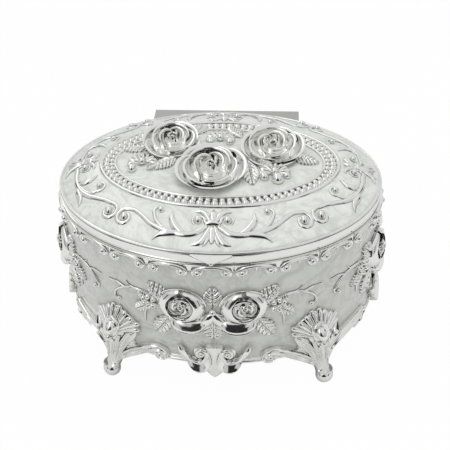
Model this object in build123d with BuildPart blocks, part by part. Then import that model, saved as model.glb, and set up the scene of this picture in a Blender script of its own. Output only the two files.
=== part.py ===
from build123d import *
import math
import os

# An oval footed keepsake box: a cast wall and lid with enamel panels, applied roses, scrollwork
# and cabriole legs, a fabric lining, and a long pinned hinge along the back.
# Millimetres. X runs along the oval, -Y is the front, Z is up. The origin is on the floor under
# the middle of the oval.

os.makedirs("parts", exist_ok=True)

# ---- driving dimensions -------------------------------------------------------------------
# oval wall
half_length = 66.0            # wall's outer semi-axis along X
half_depth = 50.5             # wall's outer semi-axis along Y
rim_height = 75.5             # lid's rim above the floor
lid_band = 4.6                # upright band of the lid
parting_gap = 0.15            # lid's band above the wall, closed
wall_bottom = 19.5            # lower edge of the wall
wall_thickness = 2.0          # metal behind the enamel
enamel_thickness = 0.6
border_height = 1.1           # bare metal lines above and below the enamel

# inside
ledge_depth = 1.8             # ledge under the base plate
ledge_height = 1.2
plate_thickness = 1.2
pad_thickness = 3.0
lining_thickness = 1.2
lining_clearance = 0.15
lining_below_top = 1.2        # lining stops short of the wall's top

# lid
lip_width = 2.4               # bare metal lip round the lid's edge
lip_rise = 0.8
slope_bulge = 4.1             # height of the slope midway between lip and bead ring
ring_half_length = 49.4       # bead ring's outer semi-axes
ring_half_depth = 31.4
ring_foot = 6.0               # slope's height at the ring's outer edge, above the rim
ring_width = 7.4
ring_ridge = 1.2              # width of each smooth ridge
ring_rise = 1.5               # ridges above the ring's foot
ring_bed = 0.5                # bed between the ridges above the ring's foot
bead_radius_outer = 1.36
bead_radius_inner = 1.1
bead_count = 74
bead_clearance = 0.02         # between the beads and the ridges beside them
bead_sink = 15                # degrees of each bead below the bed
dome_rise = 1.6               # middle of the lid above the ring's foot
dome_flat = 0.45              # flat middle's share of the panel inside the ring
lid_thickness = 1.8
lid_side = 2.0                # thickness of the lid's upright band
card_thickness = 1.2          # padded card that lines the lid
card_clearance = 0.3
card_seat = 2.4               # card's seat below the rim
card_seat_width = 2.0

# hinge
hinge_half_length = 33.0
hinge_wall_gap = 0.2          # knuckles behind the wall's rear face
hinge_leaf_height = 7.0       # body's leaf below the wall's top
knuckle_radius = 1.9
pin_radius = 1.0
pin_clearance = 0.04          # radial, in every knuckle
knuckle_count = 5
knuckle_gap = 0.3
knuckle_clearance = 0.35      # round the other leaf's knuckles

# upper trim
scroll_count = 22
scroll_half_width = 6.5
scroll_band = 1.5             # width of the scroll's band
volute_radius = 1.9
volute_drop = 3.7             # volutes' middles below the wall's top
trim_relief = 1.7
trim_line = 0.5               # line along the wall's top, as high as it is proud

# legs
leg_place = 45.5              # along the wall from the middle of the front or back
leg_top = 39.0
leg_half_width = 12.0
leg_wing = 14.8               # half-width where the wings meet the wall's lower edge
leg_knee_height = 30.0
leg_knee = 6.2                # knee proud of the wall
leg_ankle_height = 8.5
leg_ankle_half_width = 3.0
leg_ankle_out = 3.9
leg_ankle_in = -0.6
ball_radius = 3.6
ball_out = 3.6                # ball's centre proud of the wall
ball_flat = 0.15              # ground off the bottom of the ball

# roses and leaves on the wall
spray_height = 48.0           # middle of the roses above the floor
spray_rose_spacing = 25.6
spray_rose_radius = 9.4
spray_rose_rise = 5.6
leaf_relief = 2.2
stem_relief = 1.4

# pendants under the wall
pendant_volute_radius = 4.6
pendant_spacing = 12.8
pendant_height = 19.2         # middle of the volutes above the floor
pendant_drop = 12.7           # lowest point above the floor
pendant_relief = 3.2
pendant_leaf_reach = 14.6
pendant_leaf_top = 25.2
pendant_back = 1.4            # how far it runs in behind the wall's face

# roses and scrollwork on the lid
lid_rose_rise = 8.2
scroll_relief = 1.1
scroll_line = 1.8
scroll_ball = 1.9
tab_half_width = 6.9
tab_depth = 4.2
tab_drop = 0.2                # top of the tab below the rim
tab_relief = 2.0

# ---- worked out from them -----------------------------------------------------------------
wall_top = rim_height - lid_band - parting_gap
band_bottom = rim_height - lid_band
inner_inset = enamel_thickness + wall_thickness
plate_level = wall_bottom + ledge_height
pad_level = plate_level + plate_thickness
lining_bottom = pad_level
lining_top = wall_top - lining_below_top
pad_inset = inner_inset + lining_clearance + lining_thickness + lining_clearance
panel_half_length = ring_half_length - ring_width
panel_half_depth = ring_half_depth - ring_width
far = 4 * half_length         # longer than the whole box, for cutting blocks

# ---- shared shapes ------------------------------------------------------------------------
oval_line = Edge.make_ellipse(half_length, half_depth)
oval_perimeter = oval_line.length


def wall_plane(side, along, height):
    """Plane on the wall's outer face, its z axis outwards and its y axis up.

    side is 0 at the front, 1 at the right, 2 at the back and 3 at the left; along is measured
    round the wall from the middle of that side, to the right as seen from outside.
    """
    share = (0.75 + side / 4 + along / oval_perimeter) % 1.0
    point = oval_line @ share
    tangent = oval_line % share
    outward = tangent.cross(Vector(0, 0, 1))
    return Plane(origin=(point.X, point.Y, height), x_dir=tangent, z_dir=outward)


def oval_block(inset, bottom, top):
    """Upright oval block whose side stands inset inside the wall's outer face."""
    with BuildPart() as block:
        with BuildSketch(Plane.XY.offset(bottom)):
            Ellipse(half_length - inset, half_depth - inset)
        extrude(amount=top - bottom)
    return block.part


def lid_sections():
    """Semi-axes and height above the rim of the lid's outer metal surface, from rim to middle."""
    slope_mid_length = (half_length - lip_width + ring_half_length) / 2
    slope_mid_depth = (half_depth - lip_width + ring_half_depth) / 2
    return (
        (half_length, half_depth, 0.0),
        (half_length - lip_width, half_depth - lip_width, lip_rise),
        (slope_mid_length, slope_mid_depth, slope_bulge),
        (ring_half_length, ring_half_depth, ring_foot),
        (panel_half_length, panel_half_depth, ring_foot),
        (panel_half_length * dome_flat, panel_half_depth * dome_flat, ring_foot + dome_rise),
    )


def lid_dome(lift):
    """Solid under the lid's outer surface, down to the rim, the surface raised by lift."""
    with BuildPart() as dome:
        with BuildSketch(Plane.XY.offset(band_bottom)):
            Ellipse(half_length, half_depth)
        extrude(amount=lid_band + lift)
        for length, depth, height in lid_sections():
            with BuildSketch(Plane.XY.offset(rim_height + lift + height)):
                Ellipse(length, depth)
        loft(ruled=True)
    return dome.part


def lid_height(x, y):
    """Height of the lid's metal surface above the floor at a point in plan."""
    sections = lid_sections()
    for outer, inner in zip(sections, sections[1:]):
        if (x / inner[0]) ** 2 + (y / inner[1]) ** 2 < 1:
            continue
        low, high = 0.0, 1.0
        for _ in range(30):
            share = (low + high) / 2
            length = outer[0] + (inner[0] - outer[0]) * share
            depth = outer[1] + (inner[1] - outer[1]) * share
            if (x / length) ** 2 + (y / depth) ** 2 < 1:
                low = share
            else:
                high = share
        return rim_height + outer[2] + (inner[2] - outer[2]) * low
    return rim_height + sections[-1][2]


def rose(radius, rise):
    """A rose on the XY plane, facing +Z: five leaning petals round a cup, and a bud in it."""
    petal_count = 5
    petal_radius = 0.52 * radius
    petal_lean = 24
    with BuildPart() as flower:
        with BuildSketch():
            Circle(0.62 * radius)
        extrude(amount=0.62 * rise, taper=-8)
        with PolarLocations(0.5 * radius, petal_count, start_angle=90):
            with Locations(Location((0, 0, 0.22 * rise), (0, -petal_lean, 0))):
                Cylinder(petal_radius, 0.2 * rise)
        with BuildSketch(Plane.XY.offset(0.45 * rise)):
            Circle(0.5 * radius)
        extrude(amount=0.3 * rise, taper=-14)
        with BuildSketch(Plane.XY.offset(0.62 * rise)):
            Circle(0.44 * radius)
        extrude(amount=rise, mode=Mode.SUBTRACT)
        with BuildSketch(Plane.XY.offset(0.5 * rise)):
            Circle(0.36 * radius)
        extrude(amount=0.5 * rise, taper=14)
        with BuildSketch(Plane.XY.offset(-far)):
            Circle(2 * radius)
        extrude(amount=far, mode=Mode.SUBTRACT)
    return flower.part


def leaf_outline(x, y, heading, length, width):
    """Pointed leaf in plan, from its stalk at x, y towards the heading in degrees."""
    along = Vector(1, 0).rotate(Axis.Z, heading)
    across = Vector(0, 1).rotate(Axis.Z, heading)
    stalk = Vector(x, y)
    tip = stalk + length * along
    widest = stalk + 0.45 * length * along
    with BuildSketch() as outline:
        with BuildLine():
            ThreePointArc(stalk, widest + width / 2 * across, tip)
            ThreePointArc(tip, widest - width / 2 * across, stalk)
        make_face()
    return outline.sketch


def leaf(length, width, relief):
    """Pointed leaf on the XY plane, its stalk at the origin and its tip along +X."""
    with BuildPart() as blade:
        with BuildSketch():
            add(leaf_outline(0, 0, 0, length, width))
        extrude(amount=relief, both=True)
        chamfer(blade.edges().group_by(Axis.Z)[-1], 0.4 * relief)
    return blade.part


def small_flower(radius, relief):
    """Five round petals and a bead, on the XY plane."""
    with BuildPart() as flower:
        with BuildSketch():
            with PolarLocations(0.55 * radius, 5, start_angle=90):
                Circle(0.45 * radius)
            Circle(0.5 * radius)
        extrude(amount=relief, both=True)
        with Locations((0, 0, relief)):
            Sphere(0.32 * radius)
    return flower.part


def stroke(points, width, place, depth):
    """Bar of even width along a smooth line of points on a plane, reaching depth to each side."""
    with BuildPart() as bar:
        with BuildSketch(place):
            with BuildLine():
                Spline(*points)
            trace(line_width=width)
        extrude(amount=depth, both=True)
    return bar.part


# ---- wall ---------------------------------------------------------------------------------
wall_block = oval_block(0, wall_bottom, wall_top)
enamel_bottom = wall_bottom + border_height
enamel_top = wall_top - border_height

with BuildPart() as body_shell:
    add(oval_block(-trim_line, wall_top - trim_line, wall_top))
    with BuildSketch(Plane.XY.offset(wall_bottom)):
        with Locations((0, half_depth)):
            Rectangle(2 * hinge_half_length + 2 * knuckle_gap, half_depth)
    extrude(amount=far, mode=Mode.SUBTRACT)
    add(wall_block)
    add(oval_block(0, enamel_bottom, enamel_top), mode=Mode.SUBTRACT)
    add(oval_block(enamel_thickness, wall_bottom, wall_top))
    add(oval_block(inner_inset, plate_level, wall_top), mode=Mode.SUBTRACT)
    add(oval_block(inner_inset + ledge_depth, wall_bottom, plate_level), mode=Mode.SUBTRACT)
body_shell.part.label = "body_shell"

with BuildPart() as body_enamel:
    add(oval_block(0, enamel_bottom, enamel_top))
    add(oval_block(enamel_thickness, enamel_bottom, enamel_top), mode=Mode.SUBTRACT)
body_enamel.part.label = "body_enamel"

with BuildPart() as base_plate:
    add(oval_block(inner_inset + lining_clearance, plate_level, pad_level))
base_plate.part.label = "base_plate"

with BuildPart() as wall_lining:
    add(oval_block(inner_inset + lining_clearance, lining_bottom, lining_top))
    lining_inside = inner_inset + lining_clearance + lining_thickness
    add(oval_block(lining_inside, lining_bottom, lining_top), mode=Mode.SUBTRACT)
wall_lining.part.label = "wall_lining"

with BuildPart() as floor_pad:
    add(oval_block(pad_inset, pad_level, pad_level + pad_thickness))
    fillet(floor_pad.edges().group_by(Axis.Z)[-1], pad_thickness / 3)
floor_pad.part.label = "floor_pad"

# ---- lid ----------------------------------------------------------------------------------
metal_dome = lid_dome(0)
enamel_dome = lid_dome(enamel_thickness)
scroll_dome = lid_dome(enamel_thickness + scroll_relief)

with BuildPart() as lid_hollow:
    add(lid_dome(-lid_thickness))
    add(oval_block(card_seat_width + lid_side, band_bottom, rim_height + far), mode=Mode.INTERSECT)

with BuildPart() as lid_shell:
    add(metal_dome)
    add(lid_hollow.part, mode=Mode.SUBTRACT)
    add(oval_block(lid_side, band_bottom, rim_height - card_seat), mode=Mode.SUBTRACT)
lid_shell.part.label = "lid_shell"

with BuildPart() as lid_enamel_band:
    add(enamel_dome)
    add(metal_dome, mode=Mode.SUBTRACT)
    add(oval_block(lip_width, band_bottom, rim_height + far), mode=Mode.INTERSECT)
    with BuildSketch(Plane.XY.offset(band_bottom)):
        Ellipse(ring_half_length, ring_half_depth)
    extrude(amount=far, mode=Mode.SUBTRACT)
lid_enamel_band.part.label = "lid_enamel_band"

with BuildPart() as lid_enamel_centre:
    add(enamel_dome)
    add(metal_dome, mode=Mode.SUBTRACT)
    with BuildSketch(Plane.XY.offset(band_bottom)):
        Ellipse(panel_half_length, panel_half_depth)
    extrude(amount=far, mode=Mode.INTERSECT)
lid_enamel_centre.part.label = "lid_enamel_centre"

ring_base = rim_height + ring_foot
ring_top = ring_base + ring_rise
bed_level = ring_base + ring_bed
bead_line_outer = ring_ridge + bead_radius_outer + bead_clearance
bead_line_inner = ring_width - ring_ridge - bead_radius_inner - bead_clearance
with BuildPart() as lid_bead_ring:
    with BuildSketch(Plane.XY.offset(ring_base)):
        Ellipse(ring_half_length, ring_half_depth)
        Ellipse(panel_half_length, panel_half_depth, mode=Mode.SUBTRACT)
    extrude(amount=ring_rise)
    fillet(lid_bead_ring.edges().group_by(Axis.Z)[-1], ring_ridge / 3)
    with BuildSketch(Plane.XY.offset(bed_level)):
        Ellipse(ring_half_length - ring_ridge, ring_half_depth - ring_ridge)
        Ellipse(panel_half_length + ring_ridge, panel_half_depth + ring_ridge, mode=Mode.SUBTRACT)
    extrude(amount=far, mode=Mode.SUBTRACT)
    for inset, bead_radius in (
        (bead_line_outer, bead_radius_outer),
        (bead_line_inner, bead_radius_inner),
    ):
        bead_line = Edge.make_ellipse(ring_half_length - inset, ring_half_depth - inset)
        bead_places = [bead_line @ (index / bead_count) for index in range(bead_count)]
        with Locations(*[(place.X, place.Y, bed_level) for place in bead_places]):
            add(Solid.make_sphere(bead_radius, angle1=-bead_sink), clean=False)
lid_bead_ring.part.label = "lid_bead_ring"

with BuildPart() as lid_lining:
    card_top = rim_height - card_seat
    add(oval_block(lid_side + card_clearance, card_top - card_thickness, card_top))
    fillet(lid_lining.edges().group_by(Axis.Z)[0], card_thickness / 2)
lid_lining.part.label = "lid_lining"


with BuildPart() as lid_thumb_tab:
    with BuildSketch(wall_plane(0, 0, rim_height - tab_drop).offset(-tab_relief)):
        Ellipse(tab_half_width, tab_depth)
        with Locations((0, far / 2)):
            Rectangle(far, far, mode=Mode.SUBTRACT)
    extrude(amount=2 * tab_relief)
    add(oval_block(0, band_bottom, rim_height), mode=Mode.SUBTRACT)
    fillet(lid_thumb_tab.edges().group_by(Axis.Y)[0], tab_relief / 3)
lid_thumb_tab.part.label = "lid_thumb_tab"

# ---- hinge --------------------------------------------------------------------------------
# The pin lies in the rear face of both leaves, at the level where the lid parts from the wall.
hinge_level = (wall_top + band_bottom) / 2
hinge_rear = half_depth + hinge_wall_gap + knuckle_radius
leaf_front = half_depth * math.sqrt(1 - (hinge_half_length / half_length) ** 2) - 1.0
knuckle_pitch = 2 * hinge_half_length / knuckle_count
knuckle_length = knuckle_pitch - knuckle_gap
knuckle_places = [
    (index - (knuckle_count - 1) / 2) * knuckle_pitch for index in range(knuckle_count)
]
body_knuckles = knuckle_places[0::2]
lid_knuckles = knuckle_places[1::2]
knuckle_axis = Plane(origin=(0, hinge_rear, hinge_level), x_dir=(0, 1, 0), z_dir=(1, 0, 0))


def knuckle_rod(radius, middle, length):
    """Round bar along the hinge axis."""
    with BuildPart() as rod:
        with BuildSketch(knuckle_axis.offset(middle - length / 2)):
            Circle(radius)
        extrude(amount=length)
    return rod.part


def hinge_leaf(bottom, top, own_knuckles, other_knuckles):
    """A leaf behind the oval with its knuckles, bored for the pin."""
    with BuildPart() as leaf:
        with BuildSketch(Plane.XY.offset(bottom)):
            with Locations((0, (leaf_front + hinge_rear) / 2)):
                Rectangle(2 * hinge_half_length, hinge_rear - leaf_front)
        extrude(amount=top - bottom)
        add(oval_block(0, 0, rim_height + far), mode=Mode.SUBTRACT)
        for place in other_knuckles:
            room = knuckle_rod(knuckle_radius + knuckle_clearance, place, knuckle_pitch + knuckle_gap)
            add(room, mode=Mode.SUBTRACT)
        for place in own_knuckles:
            add(knuckle_rod(knuckle_radius, place, knuckle_length))
        bore = knuckle_rod(pin_radius + pin_clearance, 0, far)
        add(bore, mode=Mode.SUBTRACT)
    return leaf.part


with BuildPart() as body_hinge_leaf:
    add(hinge_leaf(wall_top - hinge_leaf_height, wall_top, body_knuckles, lid_knuckles))
body_hinge_leaf.part.label = "body_hinge_leaf"

with BuildPart() as lid_hinge_leaf:
    add(hinge_leaf(band_bottom, rim_height, lid_knuckles, body_knuckles))
lid_hinge_leaf.part.label = "lid_hinge_leaf"

with BuildPart() as hinge_pin:
    add(knuckle_rod(pin_radius, 0, 2 * hinge_half_length - knuckle_gap))
hinge_pin.part.label = "hinge_pin"

# ---- upper trim ---------------------------------------------------------------------------
volute_level = wall_top - volute_drop
scroll_height = volute_drop - trim_line
with BuildPart() as single_scroll:
    with BuildSketch():
        Ellipse(scroll_half_width, scroll_height)
        hollow_width = scroll_half_width - scroll_band
        Ellipse(hollow_width, scroll_height - scroll_band, mode=Mode.SUBTRACT)
        with Locations((0, -far / 2)):
            Rectangle(far, far, mode=Mode.SUBTRACT)
        with Locations((scroll_half_width - volute_radius, 0), (volute_radius - scroll_half_width, 0)):
            Circle(volute_radius)
    extrude(amount=trim_relief, both=True)

with BuildPart() as upper_scroll_trim:
    scroll_places = [
        wall_plane(0, index / scroll_count * oval_perimeter, volute_level)
        for index in range(scroll_count)
    ]
    with Locations(*scroll_places):
        add(single_scroll.part)
    add(wall_block, mode=Mode.SUBTRACT)
    with BuildSketch(Plane.XY.offset(wall_bottom)):
        with Locations((0, half_depth)):
            Rectangle(2 * hinge_half_length + 2 * knuckle_gap, half_depth)
    extrude(amount=far, mode=Mode.SUBTRACT)
upper_scroll_trim.part.label = "upper_scroll_trim"

# ---- legs ---------------------------------------------------------------------------------
ball_level = ball_radius - ball_flat


def leg(side, along):
    """Cabriole leg: its front outline and its side profile, crossed, and a ball under them."""
    face = wall_plane(side, along, 0)
    profile_plane = Plane(
        origin=face.origin + leg_wing * face.x_dir, x_dir=face.z_dir, z_dir=-face.x_dir
    )
    knee_room = 2 * leg_knee
    with BuildPart() as profile:
        with BuildSketch(profile_plane):
            with BuildLine():
                Spline(
                    (0.8, leg_top),
                    (leg_knee * 0.72, leg_top - 4),
                    (leg_knee, leg_knee_height),
                    (leg_knee * 0.85, wall_bottom),
                    (leg_ankle_out, leg_ankle_height),
                    (ball_out + 1.2, ball_level),
                )
                Polyline(
                    (ball_out + 1.2, ball_level),
                    (ball_out - 1.6, ball_level),
                    (leg_ankle_in, leg_ankle_height),
                    (-pendant_back, wall_bottom - 2),
                    (-pendant_back, leg_top),
                    (0.8, leg_top),
                )
            make_face()
        extrude(amount=2 * leg_wing)
    with BuildPart() as whole:
        with BuildSketch(face.offset(-knee_room)):
            with BuildLine():
                Spline(
                    (0, leg_top),
                    (0.6 * leg_half_width, leg_top - 2.5),
                    (leg_half_width, leg_knee_height),
                    (leg_half_width, wall_bottom + 6),
                    (leg_wing, wall_bottom + border_height),
                )
                Line((leg_wing, wall_bottom + border_height), (leg_wing, wall_bottom - 0.4))
                Spline(
                    (leg_wing, wall_bottom - 0.4),
                    (0.55 * leg_wing, wall_bottom - 4.5),
                    (leg_ankle_half_width, leg_ankle_height),
                    (0.8 * leg_ankle_half_width, ball_level),
                )
                Line((0.8 * leg_ankle_half_width, ball_level), (0, ball_level))
                mirror(about=Plane.YZ)
            make_face()
        extrude(amount=2 * knee_room)
        add(profile.part, mode=Mode.INTERSECT)
        with Locations(face.origin + ball_out * face.z_dir + Vector(0, 0, ball_level)):
            Sphere(ball_radius)
        add(wall_block, mode=Mode.SUBTRACT)
        with BuildSketch(Plane.XY.offset(-far)):
            Rectangle(far, far)
        extrude(amount=far, mode=Mode.SUBTRACT)
    return whole.part


leg_corners = {
    "front_left_leg": (0, -leg_place),
    "front_right_leg": (0, leg_place),
    "rear_right_leg": (2, -leg_place),
    "rear_left_leg": (2, leg_place),
}
legs = []
for leg_name, (leg_side, leg_along) in leg_corners.items():
    with BuildPart() as corner_leg:
        add(leg(leg_side, leg_along))
    corner_leg.part.label = leg_name
    legs.append(corner_leg)

# ---- sprays of roses on the wall ----------------------------------------------------------
# Leaves: place along the wall, height above the roses, heading in degrees, length and width.
middle_leaves = (
    (0.0, 0.5, 90, 10.5, 8.5),
    (0.0, -6.5, -90, 10.5, 8.5),
)
outer_leaves = (
    (20.3, 1.0, 77, 11.0, 8.0),
    (24.0, -2.0, -33, 11.0, 8.0),
    (18.5, -6.5, -66, 11.5, 8.5),
)
spray_flower_along = 25.7
spray_flower_drop = 1.4
spray_flower_radius = 3.4
tendril_middle = 33.0         # place along the wall of the plane that the tendril is drawn on
tendril_width = 1.5
tendril_points = ((-13.0, -1.0), (-4.0, 3.2), (2.5, 3.0), (7.2, 0.6), (8.8, -2.8), (6.4, -4.2))
stem_height = 3.0
stem_half_length = 24.0
stem_half_reach = 8.0         # the short stem between the roses, up and down
sweep_depth = 16.0            # deep enough to pass through the wall's curve

spray_rose = rose(spray_rose_radius, spray_rose_rise)
spray_flower = small_flower(spray_flower_radius, leaf_relief)
with BuildPart() as stem_layer:
    add(oval_block(-stem_relief, wall_bottom, wall_top))
    add(wall_block, mode=Mode.SUBTRACT)


def rose_spray(side):
    """Two roses side by side on a stem, with leaves, small flowers and tendrils beyond them."""
    with BuildPart() as stems:
        with BuildSketch(wall_plane(side, 0, spray_height)):
            Rectangle(2 * stem_half_length, stem_height)
            Rectangle(stem_height, 2 * stem_half_reach)
        extrude(amount=sweep_depth, both=True)
        for hand in (1, -1):
            drawn = [(hand * x, y) for x, y in tendril_points]
            place = wall_plane(side, hand * tendril_middle, spray_height)
            add(stroke(drawn, tendril_width, place, sweep_depth))
        add(stem_layer.part, mode=Mode.INTERSECT)
    with BuildPart() as spray:
        add(stems.part)
        for hand in (1, -1):
            with Locations(wall_plane(side, hand * spray_rose_spacing / 2, spray_height)):
                add(spray_rose)
            flower_height = spray_height - spray_flower_drop
            with Locations(wall_plane(side, hand * spray_flower_along, flower_height)):
                add(spray_flower)
            for along, rise, heading, length, width in outer_leaves:
                place = wall_plane(side, hand * along, spray_height + rise)
                turn = heading if hand > 0 else 180 - heading
                with Locations(place.location * Rotation(0, 0, turn)):
                    add(leaf(length, width, leaf_relief))
        for along, rise, heading, length, width in middle_leaves:
            place = wall_plane(side, along, spray_height + rise)
            with Locations(place.location * Rotation(0, 0, heading)):
                add(leaf(length, width, leaf_relief))
        add(wall_block, mode=Mode.SUBTRACT)
    return spray.part


# ---- pendants under the wall --------------------------------------------------------------
def pendant(side):
    """Two volutes with a fan between them, a drop below and a leaf rising at each end."""
    with BuildPart() as apron:
        with BuildSketch(wall_plane(side, 0, 0).offset(-pendant_back)):
            for hand in (1, -1):
                with Locations((hand * pendant_spacing / 2, pendant_height)):
                    Circle(pendant_volute_radius)
                with BuildLine():
                    tip = (hand * pendant_leaf_reach, pendant_leaf_top)
                    foot = (hand * pendant_spacing / 2, pendant_height - pendant_volute_radius)
                    heel = (hand * pendant_spacing / 2, pendant_height + 1)
                    outer_bow = (hand * 0.82 * pendant_leaf_reach, pendant_height - 1.2)
                    inner_bow = (hand * 0.78 * pendant_leaf_reach, pendant_height + 3)
                    ThreePointArc(tip, outer_bow, foot)
                    Line(foot, heel)
                    ThreePointArc(heel, inner_bow, tip)
                make_face()
            with BuildLine():
                Polyline(
                    (-5.2, pendant_leaf_top),
                    (5.2, pendant_leaf_top),
                    (1.5, pendant_height),
                    (3.6, pendant_drop + 2.4),
                )
                ThreePointArc(
                    (3.6, pendant_drop + 2.4), (0, pendant_drop), (-3.6, pendant_drop + 2.4)
                )
                Polyline((-3.6, pendant_drop + 2.4), (-1.5, pendant_height), (-5.2, pendant_leaf_top))
            make_face()
        extrude(amount=pendant_back + pendant_relief)
        add(wall_block, mode=Mode.SUBTRACT)
    return apron.part


# The front and the right are drawn, and the rear and the left are their mirror images.
sprays = []
aprons = []
for side, side_name, far_name, across in (
    (0, "front", "rear", Plane.XZ),
    (1, "right", "left", Plane.YZ),
):
    for kind, shape, group in (
        ("rose_spray", rose_spray(side), sprays),
        ("apron_pendant", pendant(side), aprons),
    ):
        with BuildPart() as near_piece:
            add(shape)
        near_piece.part.label = f"{side_name}_{kind}"
        with BuildPart() as far_piece:
            mirror(shape, about=across)
        far_piece.part.label = f"{far_name}_{kind}"
        group += [near_piece, far_piece]

# ---- roses and leaves on the lid ----------------------------------------------------------
# Roses: place of the middle in plan, and radius.
lid_roses = {
    "lid_front_rose": (-3.0, -8.8, 13.0),
    "lid_left_rose": (-20.3, 10.6, 11.6),
    "lid_right_rose": (21.3, 9.2, 12.6),
}
# Leaves: stalk's place in plan, heading in degrees, length and width.
lid_leaves = {
    "lid_left_leaves": (
        (-27.5, 7.5, 176, 14.5, 6.5),
        (-15.0, 1.5, 223, 13.5, 7.0),
        (-24.0, -1.0, 190, 10.0, 5.5),
    ),
    "lid_rear_leaves": (
        (-3.0, 10.0, 108, 10.0, 6.5),
        (1.0, 10.0, 68, 11.5, 6.5),
        (-1.0, 7.0, 88, 11.0, 6.0),
    ),
    "lid_right_leaves": (
        (27.0, 3.0, -15, 13.0, 7.0),
        (11.0, 2.0, -78, 17.5, 7.5),
        (15.0, 1.0, -42, 13.5, 6.0),
    ),
}
lid_flowers = {
    "lid_left_leaves": (-31.6, -4.0, 4.6),
    "lid_rear_leaves": (-0.8, 17.6, 4.4),
    "lid_right_leaves": (23.2, -9.8, 4.8),
}
lid_leaf_relief = 2.0
rose_lift = 0.7               # keeps the leaning petals over the bead ring

panel_roses = []
for rose_name, (rose_x, rose_y, rose_radius) in lid_roses.items():
    panel_level = lid_height(rose_x, rose_y) + enamel_thickness
    with BuildPart() as panel_rose:
        with Locations((rose_x, rose_y, panel_level + rose_lift)):
            add(rose(rose_radius, lid_rose_rise - rose_lift))
        with BuildSketch(Plane.XY.offset(panel_level - dome_rise)):
            with Locations((rose_x, rose_y)):
                Circle(0.6 * rose_radius)
        extrude(amount=dome_rise + 2 * rose_lift)
        add(enamel_dome, mode=Mode.SUBTRACT)
        add(lid_bead_ring.part, mode=Mode.SUBTRACT)
    panel_rose.part.label = rose_name
    panel_roses.append(panel_rose)

panel_leaves = []
for leaves_name, leaves in lid_leaves.items():
    flower_x, flower_y, flower_radius = lid_flowers[leaves_name]
    with BuildPart() as leaf_group:
        flower_level = lid_height(flower_x, flower_y) + enamel_thickness
        with Locations((flower_x, flower_y, flower_level)):
            add(small_flower(flower_radius, lid_leaf_relief))
        for leaf_x, leaf_y, heading, length, width in leaves:
            turn = math.radians(heading)
            middle_x = leaf_x + length / 2 * math.cos(turn)
            middle_y = leaf_y + length / 2 * math.sin(turn)
            leaf_level = lid_height(middle_x, middle_y) + enamel_thickness
            with Locations(Location((leaf_x, leaf_y, leaf_level), (0, 0, heading))):
                add(leaf(length, width, lid_leaf_relief))
        for panel_rose in panel_roses:
            add(panel_rose.part, mode=Mode.SUBTRACT)
        add(enamel_dome, mode=Mode.SUBTRACT)
        add(lid_bead_ring.part, mode=Mode.SUBTRACT)
    leaf_group.part.label = leaves_name
    panel_leaves.append(leaf_group)

# ---- scrollwork on the lid's slope --------------------------------------------------------
# Each quarter's lines in plan for the right front, mirrored to the others. The scrolls at the
# front and back grow from a palmette behind the rim, those at the sides from one at the oval's end.
long_scrolls = (
    ((0.0, -40.5), (10.0, -42.6), (18.5, -40.4), (24.0, -36.4), (28.9, -32.0), (33.0, -31.0), (35.6, -33.0)),
    ((18.5, -40.4), (22.0, -35.6), (21.4, -32.6), (19.2, -32.0)),
    ((14.6, -34.0), (13.4, -38.4), (10.0, -42.6)),
    ((13.0, -42.4), (18.5, -42.0), (22.0, -43.4)),
)
long_balls = ((34.2, -34.4), (19.3, -33.6))
end_scrolls = (
    ((59.6, 0.0), (57.2, -11.5), (54.0, -17.4), (49.9, -21.3), (45.0, -23.6), (40.6, -25.6), (38.8, -29.0)),
    ((52.3, -19.0), (47.0, -20.4), (45.6, -18.6), (46.6, -17.0)),
    ((50.6, -12.6), (53.8, -13.6), (56.8, -12.2)),
    ((54.2, -17.6), (54.0, -23.6)),
)
end_balls = ((40.4, -30.4), (47.6, -17.6))
# Palmette leaves: stalk, heading, length and width, from the knot outwards.
long_palmette = (
    (0.0, -41.5, 137, 10.5, 4.6),
    (0.0, -41.5, 43, 10.5, 4.6),
    (0.0, -41.5, 90, 9.0, 5.0),
    (0.0, -39.8, -90, 7.8, 4.6),
    (0.0, -39.8, -49, 9.0, 4.4),
    (0.0, -39.8, -131, 9.0, 4.4),
)
end_palmette = (
    (57.6, 0.0, 133, 10.0, 4.6),
    (57.6, 0.0, -133, 10.0, 4.6),
    (59.4, 0.0, 180, 8.4, 5.0),
    (57.6, 0.0, 78, 8.6, 4.4),
    (57.6, 0.0, -78, 8.6, 4.4),
)
scroll_layer_top = rim_height + far
with BuildPart() as scroll_layer:
    add(scroll_dome)
    add(enamel_dome, mode=Mode.SUBTRACT)


def scrollwork(lines, balls, palmette, quarters):
    """A palmette and its scrolls on the slope, in the quarters given as signs of X and Y."""
    with BuildPart() as work:
        with BuildSketch(Plane.XY.offset(rim_height)):
            for flip_x, flip_y in quarters:
                for line in lines:
                    with BuildLine():
                        Spline(*[(flip_x * x, flip_y * y) for x, y in line])
                    trace(line_width=scroll_line)
                with Locations(*[(flip_x * x, flip_y * y) for x, y in balls]):
                    Circle(scroll_ball)
            flip_x, flip_y = quarters[0]
            for x, y, heading, length, width in palmette:
                turn = heading if flip_x > 0 else 180 - heading
                add(leaf_outline(flip_x * x, flip_y * y, flip_y * turn, length, width))
        extrude(amount=far)
        add(scroll_layer.part, mode=Mode.INTERSECT)
    return work.part


scrollworks = []
for near_name, far_name, lines, balls, palmette, quarters, across in (
    ("front", "rear", long_scrolls, long_balls, long_palmette, ((1, 1), (-1, 1)), Plane.XZ),
    ("right", "left", end_scrolls, end_balls, end_palmette, ((1, 1), (1, -1)), Plane.YZ),
):
    with BuildPart() as near_scrolls:
        add(scrollwork(lines, balls, palmette, quarters))
    near_scrolls.part.label = f"lid_{near_name}_scrollwork"
    with BuildPart() as far_scrolls:
        mirror(near_scrolls.part, about=across)
    far_scrolls.part.label = f"lid_{far_name}_scrollwork"
    scrollworks += [near_scrolls, far_scrolls]

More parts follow.
